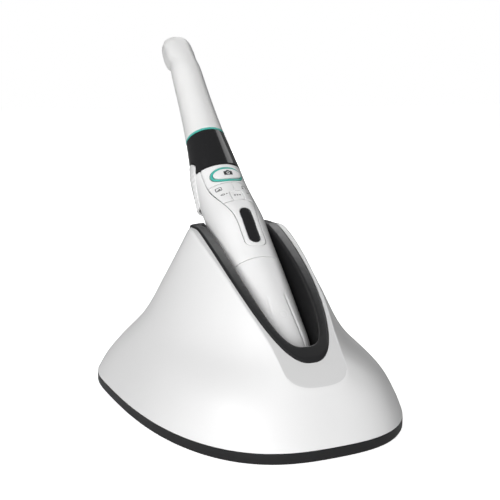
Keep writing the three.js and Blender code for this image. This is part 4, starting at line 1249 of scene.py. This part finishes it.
def seen_directly(tree):
    """1 for what the camera sees directly, 0 for what only lights the object."""
    return tree.nodes.new("ShaderNodeLightPath").outputs["Is Camera Ray"]


def add_floor():
    """A pale floor that looks white, but throws less light back up at the object."""
    half = 6 / MM
    corners = [(-half, -half, 0), (half, -half, 0), (half, half, 0), (-half, half, 0)]
    floor = solid((corners, [(0, 1, 2, 3)]), "floor")
    shader = Shader("floor", (0.5, 0.5, 0.5), 0.7)
    direct = seen_directly(shader.material.node_tree)
    shader.tint(direct, (0.96, 0.96, 0.96))
    shader.wear(40, 0.05)
    set_inputs(shader.surface, {"Emission Color": (1, 1, 1, 1)})
    shader.links.new(shader.spread(direct, 0, 0.8, 0, 1), shader.surface.inputs["Emission Strength"])
    floor.data.materials.append(shader.material)


def add_light(name, place, target, size, watts, reflection):
    """A round softbox. With reflection, it is only seen in glossy faces; without, it only lights."""
    data = bpy.data.lights.new(name, "AREA")
    data.shape = "DISK"
    data.size = size
    data.energy = watts
    light = in_scene(name, data)
    light.location = place
    light.rotation_euler = (Vector(target) - Vector(place)).to_track_quat("-Z", "Y").to_euler()
    light.visible_glossy = reflection
    light.visible_diffuse = not reflection


def add_sun(name, towards, strength):
    """A very soft light from one side of the sky, as even over the whole floor as a softbox ceiling."""
    data = bpy.data.lights.new(name, "SUN")
    data.angle = radians(60)
    data.energy = strength
    light = in_scene(name, data)
    light.rotation_euler = Vector(towards).to_track_quat("Z", "Y").to_euler()
    light.visible_glossy = False


def add_world(strength):
    """White walls all round, dimmer as a light than as a backdrop."""
    world = bpy.data.worlds.new("studio")
    world.use_nodes = True
    tree = world.node_tree
    background = set_inputs(tree.nodes["Background"], {"Color": (1, 1, 1, 1)})
    brightness = set_inputs(tree.nodes.new("ShaderNodeMapRange"), {"To Min": strength})
    tree.links.new(seen_directly(tree), brightness.inputs["Value"])
    tree.links.new(brightness.outputs["Result"], background.inputs["Strength"])
    bpy.context.scene.world = world


def add_camera():
    data = bpy.data.cameras.new("camera")
    data.lens = CAMERA_LENS
    camera = in_scene("camera", data)
    camera.location = CAMERA_PLACE
    camera.rotation_euler = (radians(90 - CAMERA_FALL), 0, radians(-CAMERA_TURN))
    bpy.context.scene.camera = camera


def light_stage():
    bpy.context.scene.view_settings.view_transform = "Standard"
    middle = (0, 0, 0.08)
    add_world(0.15)
    add_sun("overhead", (-0.6, -0.3, 1), 0.35)
    add_light("key", (-0.95, -1.25, 0.4), middle, 1.0, 28, reflection=False)
    add_light("back_key", (0.4, 1.5, 0.9), middle, 1.2, 18, reflection=False)
    add_light("band_stripe", (1.15, 0.2, 0.95), middle, 0.8, 2, reflection=True)
    add_light("back_softbox", (0.62, 0.8, 1.15), middle, 0.9, 5, reflection=True)
    add_light("left_softbox", (-1.3, -0.2, 1.0), middle, 1.0, 2, reflection=True)


build_pieces()
build_prints()
paint_cad_nodes()
add_floor()
add_camera()
light_stage()
